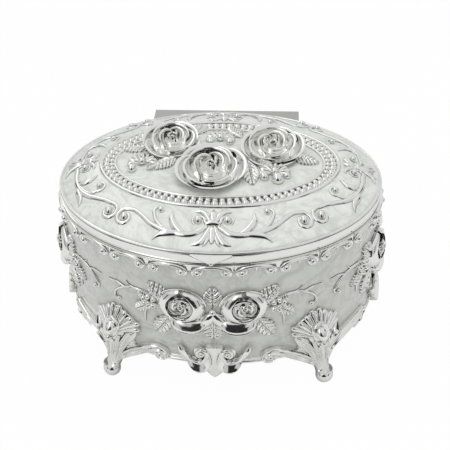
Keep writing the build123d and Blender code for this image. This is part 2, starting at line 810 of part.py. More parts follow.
# ---- files --------------------------------------------------------------------------------
pieces = [
    body_shell, body_enamel, base_plate, wall_lining, floor_pad, upper_scroll_trim,
    body_hinge_leaf, hinge_pin, lid_shell, lid_enamel_band, lid_enamel_centre, lid_bead_ring,
    lid_lining, lid_thumb_tab, lid_hinge_leaf,
]
for piece in pieces + legs + sprays + aprons + panel_roses + panel_leaves + scrollworks:
    export_step(piece.part, f"parts/{piece.part.label}.step")
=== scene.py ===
import math

import bmesh
import bpy
import numpy as np
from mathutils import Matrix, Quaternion, Vector


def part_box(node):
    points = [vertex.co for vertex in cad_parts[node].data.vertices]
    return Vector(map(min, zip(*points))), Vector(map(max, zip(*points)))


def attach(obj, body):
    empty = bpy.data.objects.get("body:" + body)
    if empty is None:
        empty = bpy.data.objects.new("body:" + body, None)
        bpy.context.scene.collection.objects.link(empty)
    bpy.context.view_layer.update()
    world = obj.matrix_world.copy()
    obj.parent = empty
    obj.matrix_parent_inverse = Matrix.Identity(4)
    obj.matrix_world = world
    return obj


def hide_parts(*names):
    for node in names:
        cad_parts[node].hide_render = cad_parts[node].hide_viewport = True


bl_info = {
    "name": "Oval Keepsake Box",
    "version": (1, 0, 0),
    "blender": (4, 5, 0),
    "location": "View3D > Sidebar > Keepsake",
    "description": "Dresses an oval footed box with roses, scrollwork, enamel and a fabric lining",
    "category": "Add Mesh",
}

# Shapes are worked out in millimetres and written to meshes in metres. An ornament is drawn in
# plan as (across, up, out): out is away from the surface that it lies on.
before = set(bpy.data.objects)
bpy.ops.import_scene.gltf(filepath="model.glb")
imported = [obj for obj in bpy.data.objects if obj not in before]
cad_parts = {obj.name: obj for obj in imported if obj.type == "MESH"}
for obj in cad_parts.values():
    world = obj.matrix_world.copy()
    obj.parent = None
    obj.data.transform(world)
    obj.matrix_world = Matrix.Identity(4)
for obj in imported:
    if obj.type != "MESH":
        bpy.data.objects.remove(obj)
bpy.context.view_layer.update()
MM = 0.001


# ---- places taken from the frame ----------------------------------------------------------
def reach(node):
    """Lowest and highest corner of a CAD node, in millimetres."""
    low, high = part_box(node)
    return np.array(low) / MM, np.array(high) / MM


HALF_LENGTH, HALF_DEPTH = reach("body_enamel")[1][:2]
WALL_BOTTOM = reach("body_shell")[0][2]
WALL_TOP = reach("body_shell")[1][2]
RIM = reach("lid_hinge_leaf")[1][2]
RING_LENGTH, RING_DEPTH = reach("lid_bead_ring")[1][:2]
RING_BASE = reach("lid_bead_ring")[0][2]
RING_WIDTH = RING_LENGTH - reach("lid_enamel_centre")[1][0]
HINGE_HALF = reach("hinge_pin")[1][0]
ENAMEL = 0.6                     # enamel above the metal
LIP_WIDTH = 2.4                  # where the slope's section starts, in from the lid's edge
LIP_RISE = 0.8                   # slope's outer edge above the rim
DOME_RISE = 1.6                  # middle of the panel above its edge
ENAMEL_INSET = 0.9               # the enamel's edge, in from the lid's edge
LIP_AXES = np.array([HALF_LENGTH - LIP_WIDTH, HALF_DEPTH - LIP_WIDTH])
RING_AXES = np.array([RING_LENGTH, RING_DEPTH])
PANEL_AXES = RING_AXES - RING_WIDTH
LENGTH = {"subtype": "DISTANCE", "unit": "LENGTH"}
COLOUR = {"subtype": "COLOR", "min": 0.0, "max": 1.0}


class BoxSizes(bpy.types.PropertyGroup):
    """Sizes that can be changed without touching the carried-over solids."""

    bead_count: bpy.props.IntProperty(
        name="Beads", description="Beads in each row of the ring", default=80, min=24, max=160)
    bead_radius: bpy.props.FloatProperty(
        name="Bead radius", description="Radius of the large beads in the ring",
        default=1.46 * MM, min=0.5 * MM, max=2 * MM, **LENGTH)
    scroll_count: bpy.props.IntProperty(
        name="Scrolls", description="C-scrolls that would go round the whole oval", default=22)
    petal_thickness: bpy.props.FloatProperty(
        name="Petal", description="Thickness of the rose petals",
        default=0.7 * MM, min=0.2 * MM, max=1.2 * MM, **LENGTH)
    leaf_ribs: bpy.props.IntProperty(
        name="Leaf ribs", description="Ribs on each side of a leaf on the lid",
        default=7, min=4, max=14)
    fan_flutes: bpy.props.IntProperty(
        name="Fan flutes", description="Flutes across a fan flower on the lid",
        default=9, min=5, max=40)
    pad_swell: bpy.props.FloatProperty(
        name="Pad swell", description="Furthest that the padding may swell",
        default=0.9 * MM, min=0.0, max=3 * MM, **LENGTH)


class BoxColours(bpy.types.PropertyGroup):
    """Colours of the finishes."""

    silver: bpy.props.FloatVectorProperty(
        name="Silver plate", description="Bright plating", default=(0.92, 0.925, 0.905), **COLOUR)
    # Painted shade: the dark colour that the plating is mixed towards in its hollows and where each
    # ornament meets the surface under it.
    painted_shade_colour: bpy.props.FloatVectorProperty(
        name="Painted shade", description="Left in the plating's hollows",
        default=(0.085, 0.08, 0.07), **COLOUR)
    white_pearl: bpy.props.FloatVectorProperty(
        name="White pearl", description="Lid enamel", default=(0.74, 0.755, 0.725), **COLOUR)
    white_shade: bpy.props.FloatVectorProperty(
        name="White shade", description="Swirls in the lid enamel",
        default=(0.58, 0.6, 0.56), **COLOUR)
    grey_pearl: bpy.props.FloatVectorProperty(
        name="Grey pearl", description="Wall enamel", default=(0.69, 0.7, 0.67), **COLOUR)
    grey_shade: bpy.props.FloatVectorProperty(
        name="Grey shade", description="Swirls in the wall enamel",
        default=(0.54, 0.55, 0.52), **COLOUR)
    velvet: bpy.props.FloatVectorProperty(
        name="Velvet", description="Fabric inside", default=(0.72, 0.68, 0.58), **COLOUR)


def sizes():
    """Sizes chosen in the sidebar."""
    return bpy.context.scene.keepsake_sizes


def colours():
    """Colours chosen in the sidebar."""
    return bpy.context.scene.keepsake_colours


# ---- node trees ---------------------------------------------------------------------------
def arithmetic(operation, reflected=False):
    """Method that adds a Math node to a wire's tree; a reflected one takes its own wire last."""
    def method(self, *others):
        values = (*others, self) if reflected else (self, *others)
        return self.graph.node("ShaderNodeMath", values, operation=operation)
    return method


class Wire:
    """A node's output, with arithmetic that adds the nodes that it needs to the same tree."""

    def __init__(self, graph, socket):
        self.graph, self.socket = graph, socket

    def out(self, name):
        """Another output of the same node."""
        return Wire(self.graph, self.socket.node.outputs[name])

    __add__, __radd__ = arithmetic("ADD"), arithmetic("ADD", True)
    __sub__, __rsub__ = arithmetic("SUBTRACT"), arithmetic("SUBTRACT", True)
    __mul__, __rmul__ = arithmetic("MULTIPLY"), arithmetic("MULTIPLY", True)
    __truediv__, __mod__ = arithmetic("DIVIDE"), arithmetic("FLOORED_MODULO")
    __gt__, __lt__ = arithmetic("GREATER_THAN"), arithmetic("LESS_THAN")
    __abs__ = arithmetic("ABSOLUTE")


class Graph:
    """A node tree, and the one method that adds any node to it."""

    def __init__(self, tree):
        self.tree = tree
        self.given, self.chosen = {}, {}

    def node(self, kind, values=(), output=0, **settings):
        """Adds a node. Its settings are set first, then its sockets' values or links."""
        node = self.tree.nodes.new(kind)
        for name, value in settings.items():
            setattr(node, name, value)
        self.feed(node, values)
        return Wire(self, node.outputs[output])

    def feed(self, node, values):
        """Sets or links a node's sockets, given in order or by name."""
        for key, value in values.items() if isinstance(values, dict) else enumerate(values):
            if isinstance(value, Wire):
                self.tree.links.new(value.socket, node.inputs[key])
            elif value is not None:
                node.inputs[key].default_value = value

    def vector(self, x=0.0, y=0.0, z=0.0):
        """Vector from its three values."""
        return self.node("ShaderNodeCombineXYZ", (x, y, z))

    def split(self, vector):
        """X of a vector; Y and Z are the same node's other outputs."""
        return self.node("ShaderNodeSeparateXYZ", (vector,))

    def vectors(self, operation, *values):
        """Vector arithmetic."""
        return self.node("ShaderNodeVectorMath", values, operation=operation)

    def mix_colours(self, share, first, second):
        """Colour between two others."""
        return self.node("ShaderNodeMix", {0: share, 6: first, 7: second}, 2, data_type="RGBA")

    def between(self, value, low, high):
        """0 below low and 1 above high, with a smooth step between them."""
        return self.node("ShaderNodeMapRange", (value, low, high), interpolation_type="SMOOTHSTEP")

    def noise(self, place, scale, detail=3.0, roughness=0.5, twist=0.0, output="Fac"):
        """Noise whose scale is in features per metre."""
        return self.node("ShaderNodeTexNoise", {
            "Vector": place, "Scale": scale, "Detail": detail, "Roughness": roughness,
            "Distortion": twist}, output)

    def bump(self, height, strength, distance):
        """Normal of a fine relief."""
        return self.node("ShaderNodeBump", {
            "Strength": strength, "Distance": distance, "Height": height})


SOCKETS = {
    float: "NodeSocketFloat", int: "NodeSocketInt", bpy.types.Object: "NodeSocketObject",
    bpy.types.Material: "NodeSocketMaterial",
}


def growing(name, chosen):
    """New Geometry Nodes tree with a named input for each value chosen, and one for its metal."""
    tree = bpy.data.node_groups.new(name, "GeometryNodeTree")
    graph = Graph(tree)
    graph.chosen = {**chosen, "Metal": bpy.data.materials["silver"]}
    tree.interface.new_socket("Geometry", in_out="INPUT", socket_type="NodeSocketGeometry")
    for label, value in graph.chosen.items():
        socket_type = next(SOCKETS[kind] for kind in SOCKETS if isinstance(value, kind))
        tree.interface.new_socket(label, in_out="INPUT", socket_type=socket_type)
    tree.interface.new_socket("Geometry", in_out="OUTPUT", socket_type="NodeSocketGeometry")
    entry = tree.nodes.new("NodeGroupInput")
    graph.given = {socket.name: Wire(graph, socket) for socket in entry.outputs[:-1]}
    return graph


def grown(graph, result, host):
    """Ends a tree, runs it on the host and returns the points and faces that it makes."""
    real = graph.node("GeometryNodeRealizeInstances", (result,))
    plated = graph.node("GeometryNodeSetMaterial", {0: real, 2: graph.given["Metal"]})
    graph.feed(graph.tree.nodes.new("NodeGroupOutput"), (plated,))
    modifier = host.modifiers.new("growth", "NODES")
    modifier.node_group = graph.tree
    for item in graph.tree.interface.items_tree:
        if item.in_out == "INPUT" and item.name in graph.chosen:
            modifier[item.identifier] = graph.chosen[item.name]
    mesh = plain_mesh(host)
    shape = mesh_shape(mesh)
    bpy.data.meshes.remove(mesh)
    bpy.data.objects.remove(host)
    bpy.data.node_groups.remove(graph.tree)
    return shape


def plain_mesh(piece):
    """Mesh that an object's modifiers make; they are removed."""
    bpy.context.view_layer.update()
    depsgraph = bpy.context.evaluated_depsgraph_get()
    mesh = bpy.data.meshes.new_from_object(piece.evaluated_get(depsgraph), depsgraph=depsgraph)
    piece.modifiers.clear()
    return mesh


def mesh_shape(mesh):
    """Points and faces of a mesh."""
    points = np.zeros(len(mesh.vertices) * 3)
    mesh.vertices.foreach_get("co", points)
    return points.reshape(-1, 3), [tuple(face.vertices) for face in mesh.polygons]


def helper(name, data):
    """New object in the scene that holds a mesh, a curve, a light or a camera."""
    held = bpy.data.objects.new(name, data)
    bpy.context.scene.collection.objects.link(held)
    return held


# ---- shapes as points and faces -----------------------------------------------------------
def grid(*columns):
    """Points from arrays of their coordinates, which spread over the same rows and columns."""
    return np.stack(np.broadcast_arrays(*columns), axis=-1)


def cells(rows, columns, ring=False):
    """Faces of a grid of points, and its indices; a ring's last column joins its first."""
    ids = np.arange(rows * columns).reshape(rows, columns)
    if ring:
        ids = np.hstack([ids, ids[:, :1]])
    corners = (ids[:-1, :-1], ids[1:, :-1], ids[1:, 1:], ids[:-1, 1:])
    return np.stack([corner.ravel() for corner in corners], axis=1), ids


def slab(top, bottom, ring=False):
    """Closed solid between two grids of points of the same size."""
    rows, columns = top.shape[:2]
    faces, ids = cells(rows, columns, ring)
    count = rows * columns
    edges = [ids[0], ids[-1][::-1]]
    if not ring:
        edges += [ids[::-1, 0], ids[:, -1]]
    walls = []
    for edge in edges:
        for a, b in zip(edge[:-1], edge[1:]):
            walls.append((a, b, b + count, a + count))
    points = np.vstack([top.reshape(-1, 3), bottom.reshape(-1, 3)])
    return points, faces.tolist() + (faces[:, ::-1] + count).tolist() + walls


def backed(top, level):
    """Closed solid from a grid of points back to a level below it."""
    bottom = top.copy()
    bottom[:, :, 2] = level
    return slab(top, bottom)


def tube(rings):
    """Shape from rings of points."""
    return rings.reshape(-1, 3), cells(*rings.shape[:2], True)[0].tolist()


def turned(profile, columns):
    """Solid turned about the out axis from a profile of (radius, out), closed on the axis."""
    turn = np.linspace(0, 2 * np.pi, columns, endpoint=False)
    radius, out = np.array(profile, float).T[:, :, None]
    return tube(grid(radius * np.cos(turn), radius * np.sin(turn), out))


def ball(radius, columns=16, flat=1.0):
    """Round ball about the origin, flattened outwards by flat."""
    lean = np.linspace(-np.pi / 2, np.pi / 2, columns // 2 + 1)
    profile = grid(radius * np.cos(lean), flat * radius * np.sin(lean))
    profile[[0, -1], 0] = 0
    return turned(profile, columns)


def put(shape, across=0.0, up=0.0, out=0.0, turn=0.0, hand=1):
    """Shape turned in its plane, moved, and flipped across for the other hand."""
    x, y, z = shape[0].T
    cosine, sine = math.cos(math.radians(turn)), math.sin(math.radians(turn))
    points = grid(x * cosine - y * sine + across, x * sine + y * cosine + up, z + out)
    points[:, 0] *= hand
    return points, shape[1]


def together(shapes):
    """Several shapes as one."""
    points, faces, count = [], [], 0
    for shape_points, shape_faces in shapes:
        points.append(shape_points)
        faces += [tuple(index + count for index in face) for face in shape_faces]
        count += len(shape_points)
    return np.vstack(points), faces


def smooth_line(points, count):
    """Evenly spaced points on a smooth line through a few points."""
    given = np.array(points, float)
    padded = np.vstack([2 * given[0] - given[1], given, 2 * given[-1] - given[-2]])
    share = np.linspace(0, 1, 17)[:-1, None]
    pieces = []
    for p0, p1, p2, p3 in zip(padded, padded[1:], padded[2:], padded[3:]):
        pieces.append(0.5 * (2 * p1 + (p2 - p0) * share + (2 * p0 - 5 * p1 + 4 * p2 - p3) * share**2
                             + (3 * p1 - p0 - 3 * p2 + p3) * share**3))
    dense = np.vstack(pieces + [given[-1:]])
    run = np.r_[0, np.cumsum(np.linalg.norm(np.diff(dense[:, :2], axis=0), axis=1))]
    places = np.linspace(0, run[-1], count)
    return np.stack([np.interp(places, run, column) for column in dense.T], axis=1)


def spiral(middle, start_radius, end_radius, start_angle, sweep, count):
    """Points of a line that curls in towards its middle; angles in degrees."""
    share = np.linspace(0, 1, count)
    angle = np.radians(start_angle + sweep * share)
    radius = start_radius + (end_radius - start_radius) * share**0.85
    return grid(middle[0] + radius * np.cos(angle), middle[1] + radius * np.sin(angle))


def curled(points, middle, start_radius, end_radius, start_angle, sweep, width):
    """A line that ends in a curl: points of its stem, then the curl; width is (start, end)."""
    inward = spiral(middle, start_radius, end_radius, start_angle, sweep, 30)
    stem = smooth_line([*points, inward[0]], 40)[:-1]
    line = np.vstack([stem, inward])
    return np.column_stack([line, np.linspace(*width, len(line))])


def as_curves(lines, closed=False):
    """Curve data of lines of (across, up, width)."""
    curves = bpy.data.curves.new("lines", "CURVE")
    curves.dimensions = "3D"
    for line in lines:
        spline = curves.splines.new("POLY")
        spline.points.add(len(line) - 1)
        spline.use_cyclic_u = closed
        for point, (across, up, width) in zip(spline.points, line):
            point.co = (across, up, 0.0, 1.0)
            point.radius = width
    return curves


def as_section(outline):
    """Helper that holds a closed section of (across, up): a level line's normal points down."""
    return helper("section", as_curves([[(across, -up, 1.0) for across, up in outline]], True))


# Half of a scroll's section with a hollow along its middle: (across, up) as shares of its width.
HOLLOW_SECTION = ((0.0, 0.16), (0.1, 0.2), (0.2, 0.36), (0.3, 0.5), (0.4, 0.48), (0.48, 0.28),
                  (0.5, 0.0), (0.46, -0.4))


def raised_lines(lines, plump, hollow=False):
    """Bars along lines of (across, up, width), swept by a tree; plump is height over width."""
    if hollow:
        outline = [*HOLLOW_SECTION, *((-across, up) for across, up in HOLLOW_SECTION[:0:-1])]
    else:
        turn = np.linspace(0, 2 * np.pi, 10, endpoint=False)
        outline = grid(0.5 * np.cos(turn), 0.5 * np.sin(turn))
    section = as_section(outline)
    graph = growing("raised_lines", {"Plump": plump, "Section": section})
    squash = graph.vector(1.0, graph.given["Plump"], 1.0)
    profile = graph.node("GeometryNodeObjectInfo", {"Object": graph.given["Section"]}, "Geometry")
    profile = graph.node("GeometryNodeTransform", {"Geometry": profile, "Scale": squash})
    level = graph.node("GeometryNodeSetCurveNormal", (graph.given["Geometry"],), mode="Z_UP")
    swept = graph.node("GeometryNodeCurveToMesh", {
        "Curve": level, "Profile Curve": profile, "Scale": graph.node("GeometryNodeInputRadius"),
        "Fill Caps": True})
    shape = grown(graph, swept, helper("lines", as_curves(lines)))
    bpy.data.objects.remove(section)
    return shape


def strung(line, bead, gap, slant=0.0):
    """Small beads strung along a line of (across, up, width); bead is their (long, wide, high)."""
    graph = growing("strung_beads", {"Gap": gap, "Slant": slant})
    path = graph.node("GeometryNodeResampleCurve", {
        "Curve": graph.given["Geometry"], "Length": graph.given["Gap"]}, mode="LENGTH")
    ico = graph.node("GeometryNodeMeshIcoSphere", {"Radius": 0.5, "Subdivisions": 2})
    spin = graph.node(
        "FunctionNodeAxesToRotation", ((0.0, 0.0, 1.0), graph.node("GeometryNodeInputTangent")),
        primary_axis="Z", secondary_axis="X")
    lean = graph.vector(z=graph.given["Slant"])
    spin = graph.node("FunctionNodeRotateRotation", (spin, lean), rotation_space="LOCAL")
    beads = graph.node("GeometryNodeInstanceOnPoints", {
        "Points": path, "Instance": ico, "Rotation": spin, "Scale": bead})
    return grown(graph, beads, helper("string", as_curves([line])))


def oval_path(graph, resolution, turn=None):
    """Oval of a tree's Half length, Half depth and Level, started a turn round."""
    path = graph.node("GeometryNodeCurvePrimitiveCircle", {"Resolution": resolution, "Radius": 1.0})
    if turn is not None:
        path = graph.node("GeometryNodeTransform", {"Geometry": path, "Rotation": turn})
    size = graph.vector(graph.given["Half length"], graph.given["Half depth"], 1.0)
    lift = graph.vector(z=graph.given["Level"])
    return graph.node("GeometryNodeTransform", {
        "Geometry": path, "Scale": size, "Translation": lift})


def oval_moulding(section, axes, level):
    """A section of (out, up) points swept round an oval by a Geometry Nodes tree."""
    graph = growing("oval_moulding", {
        "Half length": float(axes[0]), "Half depth": float(axes[1]), "Level": float(level)})
    path = graph.node("GeometryNodeSetCurveNormal", (oval_path(graph, 420),), mode="Z_UP")
    swept = graph.node("GeometryNodeCurveToMesh", {
        "Curve": path, "Profile Curve": graph.given["Geometry"]})
    return grown(graph, swept, as_section(section))


def tapered(points, start, end, count, fattest=None):
    """Smooth line of (across, up, width) whose width runs from start to end."""
    line = smooth_line(points, count)
    share = np.linspace(0, 1, len(line))
    width = start + (end - start) * share
    if fattest is not None:
        width = width + (fattest - (start + end) / 2) * np.sin(np.pi * share)
    return np.column_stack([line[:, :2], width])


# ---- the oval wall and the lid's surface --------------------------------------------------
# The wall's outline in plan goes round from the middle of the front, to the right.
WALL_AXES = np.array([HALF_LENGTH, HALF_DEPTH])
WALL_TURN = np.linspace(0, 2 * np.pi, 2881) - np.pi / 2
WALL_LINE = WALL_AXES * grid(np.cos(WALL_TURN), np.sin(WALL_TURN))
WALL_RUN = np.r_[0, np.cumsum(np.linalg.norm(np.diff(WALL_LINE, axis=0), axis=1))]
WALL_LENGTH = WALL_RUN[-1]


def wrap(shape, side, along=0.0, level=0.0):
    """Bends a shape round the wall: side 0 is the front, 1 the right, 2 the back, 3 the left."""
    across, up, out = shape[0].T
    turn = np.interp((side * WALL_LENGTH / 4 + along + across) % WALL_LENGTH, WALL_RUN, WALL_TURN)
    foot = WALL_AXES * grid(np.cos(turn), np.sin(turn))
    outward = foot / WALL_AXES**2
    outward /= np.linalg.norm(outward, axis=1)[:, None]
    return np.column_stack([foot + out[:, None] * outward, up + level]), shape[1]


def slope_height(share):
    """Height above the rim of the lid's slope, from the lip (0) to the bead ring (1)."""
    bow = 2.8
    ring_foot = RING_BASE - RIM
    return LIP_RISE + (ring_foot - LIP_RISE + bow) * share - bow * share**2


def dome_height(share):
    """Height above the rim of the panel inside the ring, from its middle (0) to its edge (1)."""
    roundness = 2.6
    return RING_BASE - RIM + DOME_RISE * (1 - np.clip(share, 0, 1) ** roundness)


def lid_level(x, y):
    """Height above the floor of the lid's enamel at points in plan."""
    low, high = np.full(len(x), -0.2), np.ones(len(x))
    for _ in range(30):
        share = (low + high) / 2
        axes = LIP_AXES[:, None] + (RING_AXES - LIP_AXES)[:, None] * share
        inside = (x / axes[0]) ** 2 + (y / axes[1]) ** 2 < 1
        low, high = np.where(inside, share, low), np.where(inside, high, share)
    centre = np.hypot(x / PANEL_AXES[0], y / PANEL_AXES[1])
    height = np.where(low < 0.999, slope_height(low), RING_BASE - RIM)
    return RIM + ENAMEL + np.where(centre < 1, dome_height(centre), height)


def lay_on_lid(shape):
    """Lays a shape drawn in plan on the lid's enamel."""
    points = shape[0].copy()
    points[:, 2] += lid_level(points[:, 0], points[:, 1])
    return points, shape[1]


# ---- finished pieces ----------------------------------------------------------------------
def painted_contact_shade(away, foot, deep):
    """Painted shade by how far a point is from the ground: most below foot, a little below deep."""
    return 0.46 * np.clip(1 - away / foot, 0, 1) + 0.12 * np.clip(1 - away / deep, 0, 1)


def shade_near_lid(points):
    """Painted shade on each point of an ornament, by how near it is to the lid's enamel."""
    return 0.85 * painted_contact_shade(points[:, 2] - lid_level(points[:, 0], points[:, 1]), 0.7, 2.4)


def inside_oval(points, axes):
    """How far in from an oval points lie in plan, on the line to its middle."""
    far = np.hypot(*(points[:, :2] / axes).T)
    return (1 - far) * np.hypot(points[:, 0], points[:, 1]) / np.maximum(far, 1e-6)


def shade_near_wall(points):
    """Painted shade on each point of an ornament, by how near it is to the wall's enamel."""
    return painted_contact_shade(-inside_oval(points, WALL_AXES), 0.7, 2.2)


def shade_in_ring(points):
    """Painted shade on each point by how deep it lies in the bead ring's channel, most on its inner
    side.
    """
    deep = np.clip(1 - (points[:, 2] - RING_BASE - 0.2) / 0.5, 0, 1)
    return deep * (0.16 + 0.38 * np.clip(inside_oval(points, RING_AXES) - 4.4, 0, 1))


def shade_in_band_grooves(points):
    """Painted shade in the grooves on both sides of the lid's rolled lip."""
    inset = (1 - np.hypot(*(points[:, :2] / WALL_AXES).T)) * np.hypot(points[:, 0], points[:, 1])
    under = np.abs(points[:, 2] - RIM + 0.34) < 0.16
    return 0.5 * np.clip((inset - 0.55) / 0.15, 0, 1) + 0.6 * under


def mark_hollows_and_shade(mesh, nearness):
    """Stores how hollow the surface is at each point, plus the painted shade that nearness gives,
    for the painted shade in the recesses.
    """
    count = len(mesh.vertices)
    points, normals = np.zeros(count * 3), np.zeros(count * 3)
    mesh.vertices.foreach_get("co", points)
    mesh.vertex_normals.foreach_get("vector", normals)
    points, normals = points.reshape(-1, 3), normals.reshape(-1, 3)
    edges = np.zeros(len(mesh.edges) * 2, int)
    mesh.edges.foreach_get("vertices", edges)
    first, second = edges.reshape(-1, 2).T
    step = points[second] - points[first]
    length = np.linalg.norm(step, axis=1) + 1e-9
    hollow, weight = np.zeros(count), np.zeros(count)
    for start, sign in ((first, 1), (second, -1)):
        bend = (sign * step * normals[start]).sum(1) / length
        hollow += np.bincount(start, bend, count)
        weight += np.bincount(start, None, count)
    hollow /= np.maximum(weight, 1)
    spread = hollow.copy()
    for _ in range(2):
        total = np.bincount(first, spread[second], count)
        total += np.bincount(second, spread[first], count)
        spread = 0.5 * spread + 0.5 * total / np.maximum(weight, 1)
    # nearness adds painted shade where the piece meets the surface under it or lies in a groove.
    if nearness:
        spread = spread + nearness(points / MM)
    attribute = mesh.attributes.new("hollow", "FLOAT", "POINT")
    attribute.data.foreach_set("value", np.clip(spread, -1, 1).astype(np.float32))


def closed_mesh(name, shape):
    """Mesh in metres of a shape in millimetres: doubles merged, faces outwards, smooth."""
    mesh = bpy.data.meshes.new(name)
    mesh.from_pydata(shape[0] * MM, [], shape[1])
    work = bmesh.new()
    work.from_mesh(mesh)
    bmesh.ops.remove_doubles(work, verts=work.verts, dist=1e-6)
    bmesh.ops.recalc_face_normals(work, faces=work.faces)
    work.to_mesh(mesh)
    work.free()
    mesh.shade_smooth()
    return mesh


def make_piece(name, shape, body, node=None, nearness=None, material="silver"):
    """Object of a shape that rides on a body and stands for the CAD node named; nearness gives its
    painted shade.
    """
    mesh = closed_mesh(name, shape)
    mesh.set_sharp_from_angle(angle=math.radians(55))
    mark_hollows_and_shade(mesh, nearness)
    mesh.materials.append(bpy.data.materials[material])
    made = helper(name, mesh)
    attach(made, body)
    if node:
        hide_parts(node)


def new_finish(name):
    """Graph and principled shader of a new material, and a point's place on its object."""
    material = bpy.data.materials.new(name)
    material.use_nodes = True
    graph = Graph(material.node_tree)
    place = graph.node("ShaderNodeTexCoord", output="Object")
    return graph, material.node_tree.nodes["Principled BSDF"], place


def silver_finish():
    """Bright plating over a casting: faint ripples, cloudy roughness, painted shade in the hollows.
    """
    graph, shader, place = new_finish("silver")
    cloud, ripple = graph.noise(place, 160.0), graph.noise(place, 900.0, 2.0)
    hollow = graph.node("ShaderNodeAttribute", output="Fac", attribute_name="hollow")
    # Painted shade: the hollow attribute mixes the plating towards the painted shade colour and
    # roughens it.
    painted_shade_share = graph.between(hollow + (cloud - 0.5) * 0.06, 0.07, 0.4)
    wear = graph.between(cloud, 0.35, 0.7)
    bright = graph.mix_colours(wear * 0.35, (*colours().silver, 1), (0.86, 0.85, 0.82, 1))
    graph.feed(shader, {
        "Base Color": graph.mix_colours(painted_shade_share * 0.92, bright, (*colours().painted_shade_colour, 1)),
        "Metallic": 1.0, "Roughness": 0.09 + wear * 0.07 + painted_shade_share * 0.2,
        "Normal": graph.bump(ripple + cloud * 0.6, 0.12, 0.0002),
    })


def pearl_finish(name, pearl, shade):
    """Fired enamel with milky swirls under a glossy skin."""
    graph, shader, place = new_finish(name)
    drift = graph.noise(place, 22.0, 2.0, output="Color")
    carried = graph.vectors("ADD", place, graph.vectors("SCALE", drift, None, None, 0.045))
    swirl = graph.noise(carried, 90.0, 4.0, 0.55, 2.4)
    vein = graph.noise(carried, 240.0, 3.0, 0.5, 1.6)
    share = graph.between(swirl * 0.6 + vein * 0.4, 0.36, 0.64)
    graph.feed(shader, {
        "Base Color": graph.mix_colours(share, (*pearl, 1), (*shade, 1)),
        "Roughness": 0.26 + share * 0.08, "Coat Weight": 0.8, "Coat Roughness": 0.06,
        "Specular IOR Level": 0.5, "Metallic": 0.0,
        "Normal": graph.bump(graph.noise(place, 70.0, 1.0), 0.12, 0.0006),
    })


def steel_finish(name, colour):
    """Drawn metal with fine scratches along the hinge."""
    graph, shader, place = new_finish(name)
    drawn = graph.node("ShaderNodeMapping", {"Vector": place, "Scale": (60.0, 2400.0, 2400.0)})
    scratch, cloud = graph.noise(drawn, 1.0), graph.noise(place, 90.0)
    dull = [0.8 * value for value in colour]
    graph.feed(shader, {
        "Base Color": graph.mix_colours(cloud * 0.5, (*colour, 1), (*dull, 1)),
        "Metallic": 1.0, "Roughness": 0.3 + scratch * 0.12,
        "Normal": graph.bump(scratch, 0.1, 0.0001),
    })


def velvet_finish():
    """Short-pile velvet: brushed patches, a fine nap and a soft sheen."""
    graph, shader, place = new_finish("velvet_fabric")
    brushed, nap = graph.noise(place, 75.0, 4.0, 0.6), graph.noise(place, 4200.0, 2.0)
    deep = [0.86 * value for value in colours().velvet]
    share = graph.between(brushed * 0.7 + nap * 0.3, 0.35, 0.65)
    graph.feed(shader, {
        "Base Color": graph.mix_colours(share, (*deep, 1), (*colours().velvet, 1)),
        "Roughness": 0.85 + nap * 0.1, "Sheen Weight": 0.7, "Sheen Roughness": 0.4,
        "Sheen Tint": (1.0, 0.97, 0.9, 1.0), "Specular IOR Level": 0.2,
        "Normal": graph.bump(nap + brushed * 0.4, 0.35, 0.0004),
    })


class KEEPSAKE_OT_finishes(bpy.types.Operator):
    """Makes the silver, enamel, steel and velvet"""

    bl_idname = "keepsake.finishes"
    bl_label = "Finishes"

    def execute(self, context):
        chosen = colours()
        silver_finish()
        pearl_finish("white_enamel", chosen.white_pearl, chosen.white_shade)
        pearl_finish("grey_enamel", chosen.grey_pearl, chosen.grey_shade)
        steel_finish("steel", (0.56, 0.56, 0.54))
        steel_finish("pin", (0.62, 0.61, 0.6))
        velvet_finish()
        return {"FINISHED"}


CARRIED = {
    "silver": ("body_shell", "base_plate", "lid_shell"),
    "grey_enamel": ("body_enamel",),
    "steel": ("body_hinge_leaf", "lid_hinge_leaf"),
    "pin": ("hinge_pin",),
}


class KEEPSAKE_OT_carried_metal(bpy.types.Operator):
    """Gives the carried-over solids their finishes"""

    bl_idname = "keepsake.carried_metal"
    bl_label = "Shell, enamel and hinge"

    def execute(self, context):
        for material, nodes in CARRIED.items():
            for node in nodes:
                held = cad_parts[node]
                for slot in held.material_slots:
                    slot.material = bpy.data.materials[material]
                if not held.material_slots:
                    raise RuntimeError(f"{node} has no material slot")
        return {"FINISHED"}


# ---- lid enamel ---------------------------------------------------------------------------
def oval_rows(rows, columns=256):
    """Rings of points from rows of (semi-axis along, semi-axis deep, height)."""
    turn = np.linspace(0, 2 * np.pi, columns, endpoint=False)
    along, deep, height = np.array(rows, float).T[:, :, None]
    return grid(along * np.cos(turn), deep * np.sin(turn), height)


# Section of the lid's rolled lip and the band under it, from its edge: (out, up).
BAND = RIM - WALL_TOP - 0.3
LIP_SECTION = (
    (-0.95, -0.5), (-0.95, -0.05), (-0.6, -0.05), (-0.5, 0.12), (-0.36, 0.38), (-0.1, 0.48),
    (0.16, 0.36), (0.3, 0.1), (0.24, -0.12), (0.08, -0.22), (0.06, -0.34), (0.08, -0.46),
    (0.22, -0.54), (0.26, -0.7), (0.26, 0.2 - BAND), (0.16, -BAND), (-0.3, -BAND),
)


